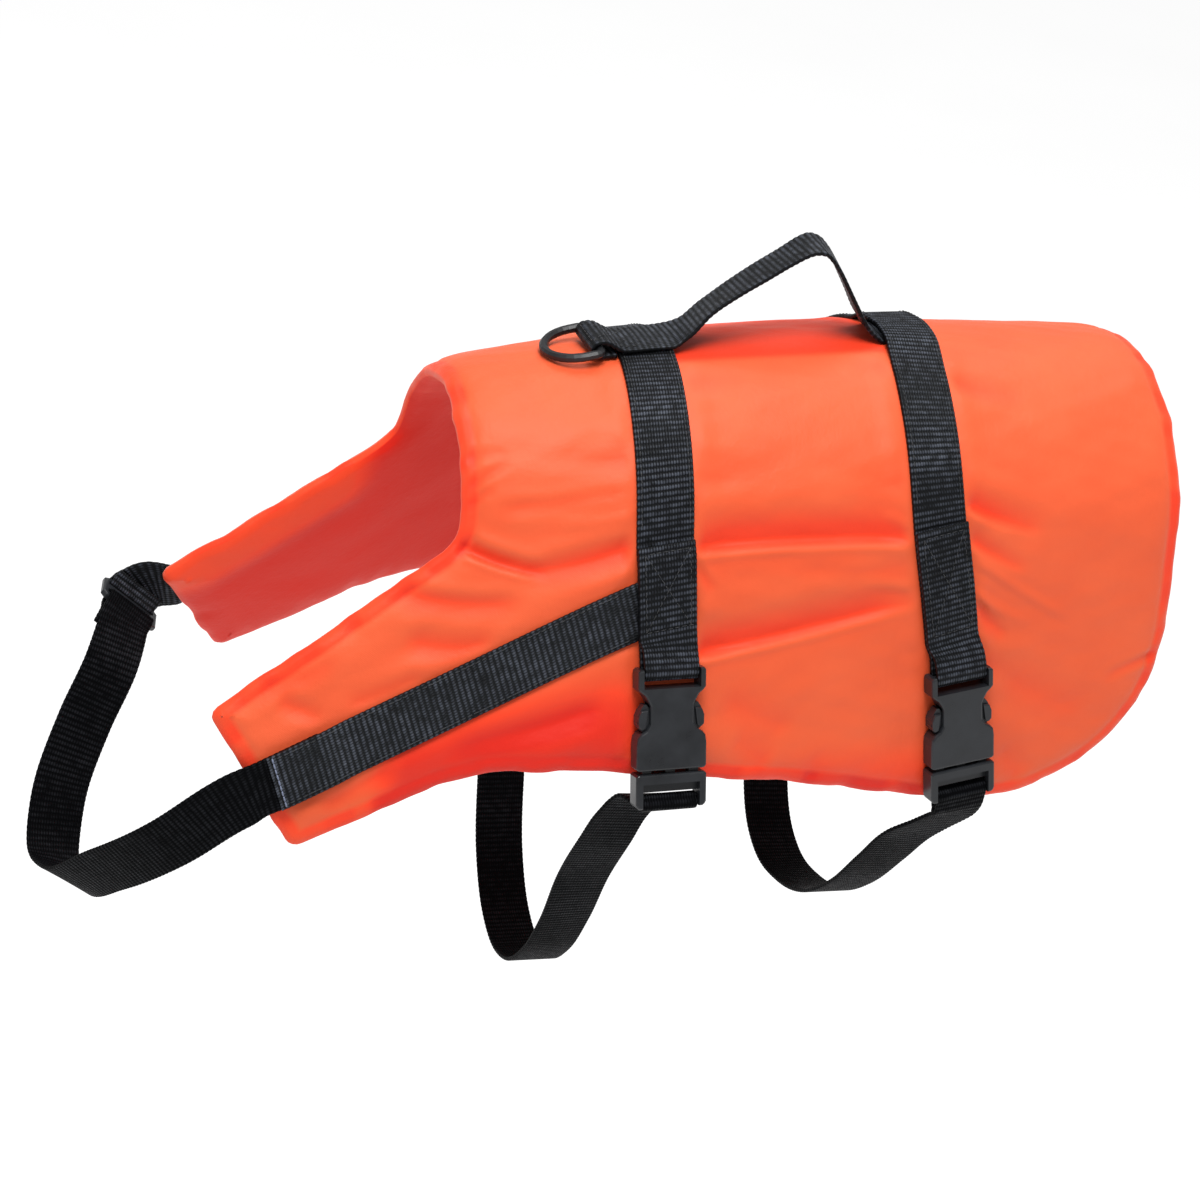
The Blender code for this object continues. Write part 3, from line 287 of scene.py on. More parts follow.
def smooth(k):
    k = np.clip(k, 0, 1)
    return k * k * (3 - 2 * k)


def window(at, low, high, ramp):
    """1 between low and high, easing to 0 over the ramp outside them."""
    return smooth(np.minimum(at - low, high - at) / ramp + 1)


# ---------- the panel's form

def section(name, x):
    return table(SECTIONS, SECTION_COLUMNS, name, x)


CROWN_AT_ORIGIN = float(section("crown", 0.0))


def shell(x, girth):
    """Smooth outer form; girth is signed, negative on the left side."""
    crown = section("crown", x) - CROWN_AT_ORIGIN + WALL
    radius = section("radius", x)
    flare = np.radians(section("flare", x))
    reach = np.abs(girth)
    arc = np.minimum(reach, radius * (flare - EASE))
    run = reach - arc
    soft = radius * EASE ** 2 * (1 - np.exp(-run / (radius * EASE)))
    y = radius * np.sin(arc / radius) + np.cos(flare) * run + np.sin(flare) * soft
    z = crown - radius * (1 - np.cos(arc / radius)) - np.sin(flare) * run + np.cos(flare) * soft
    return columns(x, np.sign(girth) * y, z)


def shell_frame(x, girth):
    """Unit directions along x, along girth, and outward."""
    h = 0.5
    along = unit(shell(x + h, girth) - shell(x - h, girth))
    down = unit(shell(x, girth + h) - shell(x, girth - h))
    return along, down, unit(np.cross(along, down))


def rounded(corners, step):
    """Open outline through corners of (x, y, radius), arcs at the radii."""
    corners = np.array(corners, float)
    path = [corners[0, :2]]
    for before, (x, y, radius), after in zip(corners, corners[1:], corners[2:]):
        corner = np.array([x, y])
        back, ahead = unit(before[:2] - corner), unit(after[:2] - corner)
        half = math.acos(np.clip(back @ ahead, -1, 1)) / 2
        centre = corner + unit(back + ahead) * radius / math.sin(half)
        start = corner + back * (radius / math.tan(half)) - centre
        turn = math.pi - 2 * half
        sense = math.copysign(1, back[1] * ahead[0] - back[0] * ahead[1])
        steps = max(2, math.ceil(radius * turn / step))
        for k in range(steps + 1):
            angle = sense * turn * k / steps
            c, s = math.cos(angle), math.sin(angle)
            path.append(centre + np.array([[c, -s], [s, c]]) @ start)
    path.append(corners[-1, :2])
    full = [path[0]]
    for a, b in zip(path, path[1:]):
        pieces = max(1, int(round(np.linalg.norm(b - a) / step)))
        full += [a + (b - a) * k / pieces for k in range(1, pieces + 1)]
    return np.array(full)


HALF_CUT = rounded(CUT, EDGE_FINE)
CUT_LOOP = np.vstack([HALF_CUT, (HALF_CUT * (1, -1))[-2:0:-1]])[::-1]
CUT_NEXT = np.roll(CUT_LOOP, -1, axis=0)
CUT_RUN = CUT_NEXT - CUT_LOOP
CUT_ALONG = arc_length(np.vstack([CUT_LOOP, CUT_LOOP[:1]]))


def chunks(flat):
    """The points in batches, to spare memory."""
    return np.array_split(flat, max(1, len(flat) // 3000))


def inside_cut(flat):
    a, b = CUT_LOOP, CUT_NEXT
    rise = np.where(b[:, 1] == a[:, 1], 1.0, b[:, 1] - a[:, 1])
    found = []
    for some in chunks(flat):
        x, y = some[:, 0, None], some[:, 1, None]
        spans = (a[:, 1] > y) != (b[:, 1] > y)
        cross = x < (b[:, 0] - a[:, 0]) * (y - a[:, 1]) / rise + a[:, 0]
        found.append((spans & cross).sum(axis=1) % 2 == 1)
    return np.hstack(found)


def cut_normals():
    """Directions into the cloth, one for each point of the cut."""
    run = CUT_NEXT - np.roll(CUT_LOOP, 1, axis=0)
    inward = unit(columns(-run[:, 1], run[:, 0]))
    if not inside_cut(CUT_LOOP[:1] + inward[:1] * 2)[0]:
        inward = -inward
    return inward


CUT_INWARD = cut_normals()


def from_edge(flat):
    """Distance inside the cut (0 outside), place round the cut, direction inward."""
    length_2 = (CUT_RUN * CUT_RUN).sum(-1)
    gaps, places, inwards = [], [], []
    for some in chunks(flat):
        rel = some[:, None, :] - CUT_LOOP[None]
        t = np.clip((rel * CUT_RUN).sum(-1) / length_2, 0, 1)
        off = np.linalg.norm(rel - t[..., None] * CUT_RUN, axis=-1)
        i = off.argmin(axis=1)
        row = np.arange(len(some))
        gaps.append(off[row, i])
        places.append(CUT_ALONG[i] + t[row, i] * (CUT_ALONG[i + 1] - CUT_ALONG[i]))
        inwards.append(CUT_INWARD[i])
    return np.hstack(gaps) * inside_cut(flat), np.hstack(places), np.vstack(inwards)


def lane_middle(lane, girth):
    """x of the middle of a girth strap."""
    return table(LANES, LANE_COLUMNS, lane, np.abs(girth))


def lane_off(flat, lane):
    return np.abs(flat[:, 0] - lane_middle(lane, flat[:, 1]))


def chest_off(flat, side):
    """Distance from the middle of a chest strap."""
    root = np.array(CHEST_ROOT)
    run = np.array(CHEST_HEM[side]) - root
    rel = flat * (1, side) - root
    t = np.clip(rel @ run / (run @ run), 0, 1.1)
    return np.linalg.norm(rel - t[:, None] * run, axis=-1)


def half_wall(edge):
    k = np.clip(edge / PILLOW, 0, 1)
    return RIM / 2 + (WALL - RIM) / 2 * np.sqrt(k * (2 - k))


def lifted(flat, height):
    """Points over the smooth outer form, along its outward directions."""
    return shell(*flat.T) + shell_frame(*flat.T)[2] * height[:, None]


def cloth(x, girth, lift):
    """Point on the plain outer face, lifted off it by the given height."""
    flat = columns(np.asarray(x, float), girth)
    shape = flat.shape[:-1]
    flat = flat.reshape(-1, 2)
    height = half_wall(from_edge(flat)[0]) - WALL / 2 + np.broadcast_to(lift, shape).ravel()
    return lifted(flat, height).reshape(*shape, 3)


# ---------- wrinkles, swelling, puckers, painted shade and light

def ripple(place, length, seed):
    """Smooth random wave round the cut, from -1 to 1."""
    whole = CUT_ALONG[-1]
    count = max(3, int(round(whole / length)))
    values = np.random.default_rng(seed).uniform(-1, 1, count)
    at = place / whole * count
    i = np.floor(at).astype(int)
    ease = smooth(at - i)
    return values[i % count] * (1 - ease) + values[(i + 1) % count] * ease


def drift(flat, seed, long, high, waves=9):
    """Slow random unevenness of the cloth, from about -1 to 1, longest along x."""
    rng = np.random.default_rng(seed)
    total = np.zeros(len(flat))
    for _ in range(waves):
        per_x = 2 * math.pi / (long * rng.uniform(0.7, 1.8)) * rng.choice((-1, 1))
        per_g = 2 * math.pi / (high * rng.uniform(0.6, 1.5))
        total += np.sin(flat[:, 0] * per_x + flat[:, 1] * per_g + rng.uniform(0, 6.28))
    return total / math.sqrt(waves) / 1.6


def bell(at, middle, spread):
    return np.exp(-((at - middle) / spread) ** 2)


def slow_folds(flat, rows):
    return sum(height * drift(flat, *row) for height, *row in rows)


def crease_depth(flat):
    """How far the creases pull the outer face in."""
    depth = np.zeros(len(flat))
    height, away, wide = CREASE_ROLL
    for side, rows in ((-1, LEFT_CREASES), (1, RIGHT_CREASES)):
        for x0, g0, x1, g1, bow, above, below, first, last in rows:
            start = np.array([x0, g0])
            run = np.array([x1, g1]) - start
            length = np.linalg.norm(run)
            run = run / length
            rel = flat * (1, side) - start
            t = rel @ run / length
            down = np.array([-run[1], run[0]]) * math.copysign(1, run[0])
            off = rel @ down - bow * 4 * t * (1 - t)
            spread = np.where(off < 0, above, below)
            taper = smooth((t + 0.12) / 0.3) * smooth((1.12 - t) / 0.3)
            deep = first + (last - first) * np.clip(t, 0, 1)
            vee = np.exp(CREASE_SOFT / spread - np.sqrt(off ** 2 + CREASE_SOFT ** 2) / spread)
            roll = height * bell(np.abs(off), away * spread, wide * spread)
            depth += np.where(side * flat[:, 1] > 0, deep * taper * (vee - roll), 0)
    return depth


def open_cloth(flat):
    """0 under the straps, rising to 1 on the open cloth: for the girth and chest straps."""
    girth, chest = np.ones(len(flat)), np.ones(len(flat))
    for lane in GIRTH_END:
        girth *= smooth((lane_off(flat, lane) - STRAP_EDGE) / STRAP_FADE)
    for side in CHEST_HEM:
        near = smooth((chest_off(flat, side) - STRAP_EDGE) / STRAP_FADE)
        chest *= np.where(side * flat[:, 1] > 0, near, 1)
    return girth, chest


def strap_swell(flat, girth_open, chest_open):
    """The foam swells beside the straps that are sewn tight over it."""
    height, away, spread = BULGE
    swell = np.zeros(len(flat))
    for lane in GIRTH_END:
        swell += bell(lane_off(flat, lane), away, spread) * chest_open
    for side in CHEST_HEM:
        beside = CHEST_BULGE * bell(chest_off(flat, side), away, spread)
        swell += np.where(side * flat[:, 1] > 0, beside, 0) * girth_open
    return height * swell * smooth((np.abs(flat[:, 1]) - INLAND) / INLAND)


def puckered(place, seed):
    return smooth(0.5 + 0.75 * ripple(place, PUCKER, seed))


def outer_face(flat, edge, place):
    """Outer face with all its wrinkles, and the painted shade at each point."""
    girth_open, chest_open = open_cloth(flat)
    free = girth_open * chest_open
    inland = smooth((edge - 2) / INLAND)
    sunk = CREASE_GAIN * crease_depth(flat) * free * smooth((edge + 3) / 9)
    # Painted shade: the deeper a crease, the deeper its colour.
    painted_shade_and_light = 0.5 * np.clip(sunk / CREASE_FULL_SHADE, 0, 1)
    calm = calmed(flat)
    pucker = puckered(place, 3) * calm
    sunk += sum(depth * pucker * bell(edge, *where) for depth, *where in PUCKERS) * free
    # Painted shade along the puckered rim.
    painted_shade_and_light += RIM_PAINTED_SHADE[0] * (0.6 + 0.4 * pucker) * smooth((RIM_PAINTED_SHADE[1] - edge) / 2 + 0.5)
    sunk += RIM_GROOVE[0] * free * calm * bell(edge, *RIM_GROOVE[1:])
    # Painted shade low on the sides and past the crest.
    painted_shade_and_light += deeper_painted_shade(*flat.T)
    waves = 0.6 * ripple(place, RIM_WAVE, 5) + 0.2 * ripple(place, PUCKER, 6)
    raised = waves * smooth(1 - edge / WAVE_REACH) * free * calm
    raised += slow_folds(flat, SLACK) * free * inland
    raised += strap_swell(flat, girth_open, chest_open) * inland
    return lifted(flat, half_wall(edge) - WALL / 2 + raised - sunk), painted_shade_and_light


# A band of painted shade, easing in over its reach.
def shade(x, girth, share, low, high, ease, start, reach):
    return share * window(x, low, high, ease) * smooth((girth - start) / reach)


def deeper_painted_shade(x, girth):
    """Painted shade low on the sides, and on the top past its crest between the straps."""
    end, fade = CREST_END
    crest = shade(x, girth, *CREST_PAINTED_SHADE) * smooth((end - girth) / fade)
    return sum(shade(x, np.abs(girth), *row) for row in SHADES) + crest


def calmed(flat):
    """1 on the open rim, 0 at the cut's sharp corners."""
    calm = np.ones(len(flat))
    for x, girth, radius in CUT:
        if 0 < radius < CALM:
            away = np.hypot(flat[:, 0] - x, np.abs(flat[:, 1]) - girth)
            calm *= smooth((away - 0.3 * CALM) / (1.4 * CALM))
    return calm


def wing_top(flat):
    """1 in the upper half of a wing, 0 elsewhere."""
    low, high, ease, slope, middle = WING_TOP
    line = middle + slope * (high - flat[:, 0])
    return window(flat[:, 0], low, high, ease) * smooth((line - np.abs(flat[:, 1])) / ease)


def inner_face(flat, edge, place):
    """Lining: quilted at the rim, with slack folds of its own, its painted shade, and painted
    light on a wing's upper half.
    """
    calm = calmed(flat)
    depth, *where = LINING_PUCKER
    sunk = depth * (puckered(place, 21) * calm) * bell(edge, *where)
    sunk += 0.7 * ripple(place, RIM_WAVE, 5) * smooth(1 - edge / WAVE_REACH) * calm
    swell = slow_folds(flat, LINING_SLACK) * smooth((edge - 2) / 16)
    roll, away, spread = WING_ROLL
    above = wing_top(flat)
    swell += roll * above * bell(edge, away, spread)
    # Painted light on a wing's upper half, above its rolled-out lining.
    painted_light, high, *wave = WING_LIT
    lit = painted_light * above * smooth((away - edge) / spread + high * ripple(place, *wave))
    height = half_wall(edge) + WALL / 2 + swell - sunk
    # The lining's painted shade, less of it where painted light lies.
    return lifted(flat, -height), LINING_PAINTED_SHADE - lit


def scalloped(flat, edge, place, inward):
    """The rim's outline, drawn in and let out a little by its stitching."""
    draw = sum(depth * ripple(place, *wave) for depth, *wave in SCALLOPS)
    draw = ROUND_RIM * 0.6 + draw * calmed(flat)
    return flat + inward * (draw * smooth(1 - edge / INLAND))[:, None]


# ---------- making objects

def add_object(name, data):
    obj = bpy.data.objects.new(name, data)
    bpy.context.scene.collection.objects.link(obj)
    return obj


def add_mesh(name, points, faces, finish, weave=None, painted_shade_and_light=None):
    """Smooth closed mesh from points in millimetres, riding on the jacket."""
    mesh = bpy.data.meshes.new(name)
    mesh.from_pydata((np.asarray(points) * MM).tolist(), [], faces)
    work = bmesh.new()
    work.from_mesh(mesh)
    bmesh.ops.recalc_face_normals(work, faces=work.faces)
    work.to_mesh(mesh)
    work.free()
    mesh.shade_smooth()
    if weave is not None:
        made = mesh.attributes.new("weave", "FLOAT_VECTOR", "POINT")
        made.data.foreach_set("vector", np.asarray(weave, np.float32).ravel() * MM)
    if painted_shade_and_light is not None:
        made = mesh.attributes.new("painted_shade_and_light", "FLOAT", "POINT")
        made.data.foreach_set("value", np.asarray(painted_shade_and_light, np.float32))
    mesh.materials.append(finish)
    obj = add_object(name, mesh)
    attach(obj, "jacket")
    return obj


def flat_face(step, rings):
    """Even triangles inside the cut: flat points, triangles, and its rim's points in order."""
    points = [CUT_LOOP]
    for offset in rings:
        row = CUT_LOOP + CUT_INWARD * offset
        points.append(row[from_edge(row)[0] > offset * 0.96])
    rise = step * math.sqrt(3) / 2
    low, high = CUT_LOOP.min(axis=0), CUT_LOOP.max(axis=0)
    count = int(high[1] / rise) + 1
    grid = []
    for row in range(-count, count + 1):
        xs = np.arange(low[0] + (row % 2) * step / 2, high[0], step)
        grid.append(columns(xs, row * rise))
    grid = np.vstack(grid)
    points.append(grid[from_edge(grid)[0] > rings[-1] + 0.6 * step])
    loop = list(range(len(CUT_LOOP)))
    made = delaunay_2d_cdt([Vector(p) for p in np.vstack(points)], [], [loop], 1, 1e-5)
    flat = np.array([tuple(p) for p in made[0]])
    rim = [int(np.hypot(*(flat - p).T).argmin()) for p in CUT_LOOP]
    return flat, made[2], np.array(rim)


def build_jacket(finish):
    faces, rows, weave, painted_shade_and_light, rims = [], [], [], [], []
    for wrinkled, grid in ((outer_face, FACE_GRID), (inner_face, LINING_GRID)):
        flat, tris, rim = flat_face(*grid)
        edge, place, inward = from_edge(flat)
        drawn = scalloped(flat, edge, place, inward)
        points, depth = wrinkled(drawn, edge, place)
        start = sum(len(r) for r in rows)
        faces += [[v + start for v in tri] for tri in tris]
        rows.append(points)
        weave.append(columns(*flat.T, 0))
        # The painted shade of each face, carried on to the cloth material.
        painted_shade_and_light.append(depth)
        rims.append(rim + start)
    points = np.vstack(rows)
    outer, inner = points[rims[0]], points[rims[1]]
    rim_flat = weave[0][rims[0]]
    along, down, _ = shell_frame(rim_flat[:, 0], rim_flat[:, 1])
    away = -unit(along * CUT_INWARD[:, :1] + down * CUT_INWARD[:, 1:])
    rounds = [rims[0]]
    for angle in np.radians(RIM_ANGLES):
        rounds.append(np.arange(len(CUT_LOOP)) + sum(len(r) for r in rows))
        rows.append((outer + inner) / 2 + (outer - inner) / 2 * math.cos(angle)
                    + away * ROUND_RIM * math.sin(angle))
        weave.append(rim_flat)
        # The rounded rim takes the outer face's painted shade.
        painted_shade_and_light.append(painted_shade_and_light[0][rims[0]])
    rounds.append(rims[1])
    for near, far in zip(rounds, rounds[1:]):
        faces += columns(near, far, np.roll(far, -1), np.roll(near, -1)).tolist()
    jacket = add_mesh("jacket_cloth", np.vstack(rows), faces, finish,
                      weave=np.vstack(weave), painted_shade_and_light=np.clip(np.hstack(painted_shade_and_light), 0, 1))
    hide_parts("jacket_body")


# ---------- rows of the straps

ACROSS = np.array([-0.5, 0, 0.5]) * WEB  # near edge, middle and far edge of a strap


def laid_rows(middle, lift):
    """Rows across a strap that lies on the cloth, from flat middle points."""
    run = unit(np.gradient(middle, axis=0))
    across = columns(-run[:, 1], run[:, 0])
    flat = middle[:, None, :] + across[:, None, :] * ACROSS[None, :, None]
    lift = np.broadcast_to(lift, (len(middle),))[:, None] * np.ones(3)
    return (cloth(flat[..., 0], flat[..., 1], lift),
            cloth(flat[..., 0], flat[..., 1], lift + WEB_T))


def free_rows(path):
    """Rows across a free strap, from its middle points and width directions."""
    middle = path[:, :3]
    run = unit(np.gradient(middle, axis=0))
    wide = path[:, 3:6]
    wide = unit(wide - (wide * run).sum(-1, keepdims=True) * run)
    face = unit(np.cross(run, wide))
    row = middle[:, None, :] + wide[:, None, :] * ACROSS[None, :, None]
    return row - face[:, None, :] * WEB_T / 2, row + face[:, None, :] * WEB_T / 2


def buckle_frame(lane):
    """Origin on the cloth, and directions: across, down the strap, outward."""
    first = SOCKET_TOP[lane]
    girth = first + np.array(BUCKLE_SPAN)
    ends = shell(lane_middle(lane, girth), -girth)
    middle = float(girth.mean())
    out = shell_frame(float(lane_middle(lane, middle)), -middle)[2]
    down = unit(ends[1] - ends[0])
    out = unit(out - (out @ down) * down)
    origin = ends[0] - down * (girth[0] - first)
    return origin, np.cross(down, out), down, out


def arc_pairs(start, end, radius):
    """Arc about a bar, from and to the angles in degrees."""
    count = max(4, int(abs(math.radians(end - start)) * radius / BEND_STEP))
    angles = np.radians(np.linspace(start, end, count + 1))
    return columns(np.cos(angles), np.sin(angles)) * radius


def with_width(middle, wide):
    """Path rows: middle points, each with the direction of the width."""
    return np.hstack([middle, np.broadcast_to(wide, np.shape(middle))])


def placed(pairs, centre, first, second, wide):
    """Path rows (middle, width) from pairs along two directions about a centre."""
    middle = centre + pairs[:, :1] * np.asarray(first) + pairs[:, 1:] * np.asarray(second)
    return with_width(middle, wide)


def round_bar(bar, first, second, wide, arriving, flap, radius, sense):
    """Path that arrives at a bar, goes round it and folds back on itself."""
    first, second = unit(first), unit(second)
    rel = np.asarray(arriving) - bar
    away = unit(np.array([rel @ first, rel @ second]))
    side = sense * np.array([-away[1], away[0]])
    start = math.degrees(math.atan2(side[1], side[0]))
    arc = arc_pairs(start, start + sense * 180, radius)
    lead = np.array([8.0, 5.0, 2.5])[:, None] * away + arc[0]
    along = np.linspace(0, flap, int(flap / 2.5) + 1)[1:]
    close = (2 * radius - LAYER) * (1 - window(along, -1.0, 0.0, 9.0))
    back = arc[-1] + along[:, None] * away + close[:, None] * side
    return placed(np.vstack([lead, arc, back]), bar, first, second, wide)


def girth_lift(lane, girth):
    """Height of the girth strap's underside above the cloth."""
    reach = np.abs(np.asarray(girth, float))
    if lane == "front":
        return GAP + LAYER * window(reach, 114.0, 148.0, 11.0)
    return GAP + (LAYER + CROWN_EXTRA) * window(reach, -1.0, 17.0, 9.0)


def lane_points(lane, start, end):
    """Flat points down the middle of a girth strap's lane."""
    count = math.ceil(abs(end - start) / STRAP_STEP) + 1
    girth = np.linspace(start, end, count)
    return columns(lane_middle(lane, girth), girth)


def girth_strap(lane):
    """Folded-back layer, round the socket's bar, then over the back to the far side."""
    leave = SOCKET_TOP[lane] - DOUBLED
    top = lane_points(lane, -BOX_TOP[lane], -leave)
    top_in, top_out = laid_rows(top, girth_lift(lane, top[:, 1]) + LAYER)
    base = lane_points(lane, -leave, GIRTH_END[lane])
    base_in, base_out = laid_rows(base, girth_lift(lane, base[:, 1]))
    origin, across, down, out = buckle_frame(lane)
    centre = origin + down * FIRST_BAR + out * BUCKLE_LIFT
    above = np.array([(-9.0, BAR_WRAP_R - 2.0), (-4.5, BAR_WRAP_R - 0.5)])
    below = np.array([(-4.5, -BAR_WRAP_R - 0.25), (-9.0, -BAR_WRAP_R - 0.75)])
    pairs = np.vstack([above, arc_pairs(90.0, -90.0, BAR_WRAP_R), below])
    bend_near, bend_far = free_rows(placed(pairs, centre, down, out, -across))
    return (np.vstack([top_out, bend_far, base_in[:, ::-1]]),
            np.vstack([top_in, bend_near, base_out[:, ::-1]]))


def sewn_and_free(flat, lift, flip, loop, finish, step=STRAP_STEP):
    """Rows of a strap that is sewn along the flat points and then runs free."""
    inner, outer = laid_rows(flat, lift)
    if flip:
        inner, outer = outer[:, ::-1], inner[:, ::-1]
    start = with_width((inner + outer)[:, 1] / 2, unit(inner[:, 2] - inner[:, 0]))
    knots = [(*row, 1, 0, 0)[:6] for row in loop]
    free = resample(np.vstack([start[-2:], knots, finish[:1]]), step)
    along = np.linalg.norm(start[-1, :3] - start[-2, :3])
    passed = np.linalg.norm(free[:, :3] - free[0, :3], axis=1) > along + step / 2
    path = np.vstack([start, free[passed][:-1], finish])
    low, high = free_rows(path)
    sewn = len(start)
    return np.vstack([inner, low[sewn:]]), np.vstack([outer, high[sewn:]])


def belly_strap(lane):
    """Sewn over the far end of the girth strap, free under the belly, round the plug."""
    loop = FRONT_LOOP if lane == "front" else REAR_LOOP
    end = GIRTH_END[lane]
    root = lane_points(lane, end - ROOT_UNDER, end + ROOT_PAST)
    origin, across, down, out = buckle_frame(lane)
    bar = origin + down * LAST_BAR + out * BUCKLE_LIFT
    finish = round_bar(bar, down, out, -across, loop[-1][:3], 10.0, BAR_WRAP_R, 1)
    return sewn_and_free(root, girth_lift(lane, root[:, 1]) + LAYER, True, loop, finish)


def chest_line(side):
    """Flat start, hem and direction of a chest strap."""
    root = np.array(CHEST_ROOT)
    hem = np.array(CHEST_HEM[side])
    return root, hem, unit(hem - root)


def chest_side(side):
    root, hem, run = chest_line(side)
    length = np.linalg.norm(hem - root)
    along = np.linspace(0, length, int(length / STRAP_STEP) + 1)
    lift = GAP + CHEST_EASE * along / length
    lift += LAYER * window(along, length - CHEST_TUCK - 1.0, length + 1.0, 9.0)
    return laid_rows((root + along[:, None] * run) * (1, side), lift)


def tucked(side):
    """Flat points and heights of a strap's end, sewn under a chest strap's hem."""
    root, hem, run = chest_line(side)
    along = np.append(np.linspace(-CHEST_TUCK, 0.0, 4), CHEST_PAST)
    lift = GAP + CHEST_EASE * (1 + (along > 0))
    lift[0] = GAP + CHEST_EASE * (1 - CHEST_TUCK / np.linalg.norm(hem - root))
    return (hem + along[:, None] * run) * (1, side), lift


SLIDER_FACE = unit(np.cross(SLIDER_ACROSS, SLIDER_DOWN))


def chest_free():
    """From under the left hem, a hanging loop, round the slider's lower bar."""
    finish = round_bar(SLIDER_AT + SLIDER_DOWN * SLIDER_BAR_OFF, SLIDER_DOWN, SLIDER_FACE,
                       SLIDER_ACROSS, CHEST_LOOP[-1][:3], 16, SLIDER_WRAP_R, -1)
    root, lift = tucked(-1)
    return sewn_and_free(root, lift, False, CHEST_LOOP, finish)


def chest_tab():
    """From under the right hem, round the slider's upper bar."""
    root, lift = tucked(1)
    leaving = cloth(root[-1, 0], root[-1, 1], GAP)
    finish = round_bar(SLIDER_AT - SLIDER_DOWN * SLIDER_BAR_OFF, -SLIDER_DOWN, SLIDER_FACE,
                       SLIDER_ACROSS, leaving, 9, SLIDER_WRAP_R, 1)[2:]
    return sewn_and_free(root, lift, True, TAB_LOOP, finish, 3.0)


def handle_strap():
    """Round the D-ring's bar, over the front girth strap, up and under the rear one."""
    along, _, out = shell_frame(DRING_X, 0.0)
    wrap_r = DRING_WIRE + GAP + WEB_T / 2
    pairs = arc_pairs(-90.0, -270.0, wrap_r)
    bend = placed(pairs, cloth(DRING_X, 0.0, DRING_LIFT), along, out, SIDEWAYS)
    lower = with_width(cloth(HANDLE_UNDER_TAB, 0.0, DRING_LIFT - wrap_r), SIDEWAYS)
    drop = with_width([cloth(x, 0.0, lift) for x, lift in HANDLE_DROP], SIDEWAYS)
    seat = GAP + LAYER + CROWN_EXTRA
    over = [(x, seat + lift) for x, lift in HANDLE_OVER]
    under = [(x, GAP) for x in HANDLE_UNDER]
    laid = [laid_rows(np.array([(x, 0.0) for x, _ in zone]), [lift for _, lift in zone])
            for zone in (over, under)]
    arch = np.array([(x, 0.0, z, lean_x, 1.0, lean_z) for x, z, lean_x, lean_z in HANDLE])
    tab = np.vstack([lower, bend, drop])
    ends = [with_width((inner + outer)[:, 1] / 2, SIDEWAYS) for inner, outer in laid]
    free = resample(np.vstack([ends[0][-1:], arch, ends[1][:1]]), HANDLE_STEP)[1:-1]
    faces = free_rows(np.vstack([tab, ends[0], free, ends[1]]))
    first = len(tab)
    for rows, laid_over, laid_under in zip(faces, *laid):
        rows[first:first + len(laid_over)] = laid_over
        rows[-len(laid_under):] = laid_under
    return faces


# ---------- webbing

def down_middle(rows):
    """Length down the middle of a strap, up to each of its rows."""
    return arc_length((rows[0] + rows[1])[:, 1] / 2)


def strap_at(rows, s, u, height):
    """Points on a strap and their outward directions.

    s runs along it, u across it and height through it, both from -1 to 1.
    """
    s, u, height = (a.ravel() for a in np.broadcast_arrays(s, u, height))
    along = down_middle(rows)
    share = columns(u * (u - 1) / 2, 1 - u * u, u * (u + 1) / 2)[..., None]
    low, high = ((hermite(along, face.reshape(-1, 9), s).reshape(-1, 3, 3) * share).sum(1)
                 for face in rows)
    out = unit(high - low)
    return (low + high) / 2 + out * (height * WEB_T / 2)[:, None], out


def ring_profile():
    """Section of the webbing: (across, height) round it, with rounded selvedges."""
    top = [(u, 1) for u in np.linspace(-0.965, 0.965, 12)]
    half = np.array(top + [(0.995, 0.62), (1, 0), (0.995, -0.62)])
    return np.vstack([half, -half])


def build_webbing(name, rows, finish):
    """Ribbed webbing along a strap's rows; it replaces the node of the same name."""
    length = down_middle(rows)[-1]
    count = int(round(length / RIB * RIB_ROWS)) + 1
    s = np.linspace(0, length, count)[:, None]
    ring = ring_profile()
    u, height = ring[None, :, 0], ring[None, :, 1]
    skew = 0.05 * np.sin(s / 41.0) * u + 0.03 * np.sin(s / 7.3 + 3 * u)
    rib = np.abs(np.sin(math.pi * (s / RIB + skew))) ** 0.7
    faces_out = np.abs(height) > 0.9
    height = height * np.where(faces_out, 1 + RIB_H / (WEB_T / 2) * (rib - RIB_MIDDLE), 1)
    u = u * np.where(faces_out, 1, 1 + 0.016 * (rib - 0.6))
    points, _ = strap_at(rows, s, u, height)
    number = np.arange(count * len(ring)).reshape(count, -1)
    after = np.roll(number, -1, axis=1)
    quads = columns(number[:-1], after[:-1], after[1:], number[1:])
    faces = quads.reshape(-1, 4).tolist() + [number[0].tolist(), number[-1].tolist()]
    webbing = add_mesh(name + "_webbing", points, faces, finish,
                       weave=columns(ring[:, 0] * WEB / 2, s, 0))
    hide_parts(name)


# ---------- stitching

def one_stitch(length, radius):
    """A stitch along x, bowed up: its points and faces."""
    points, faces = [], []
    for t, r in ((-0.5, 0), (-0.42, 0.7), (0, 1), (0.42, 0.7), (0.5, 0)):
        for k in range(STITCH_SIDES if r else 1):
            turn = 2 * math.pi * k / STITCH_SIDES
            points.append((t * length, r * radius * math.cos(turn),
                           r * radius * math.sin(turn) + STITCH_LIFT * (1 - 4 * t * t)))
    for k in range(STITCH_SIDES):
        a, b = 1 + k, 1 + (k + 1) % STITCH_SIDES
        faces.append((0, a, b))
        for _ in range(2):
            faces.append((a, a + STITCH_SIDES, b + STITCH_SIDES, b))
            a, b = a + STITCH_SIDES, b + STITCH_SIDES
        faces.append((a, len(points) - 1, b))
    return np.array(points), faces


def at_places(places, along, rows):
    return columns(*(np.interp(places, along, column) for column in rows.T))


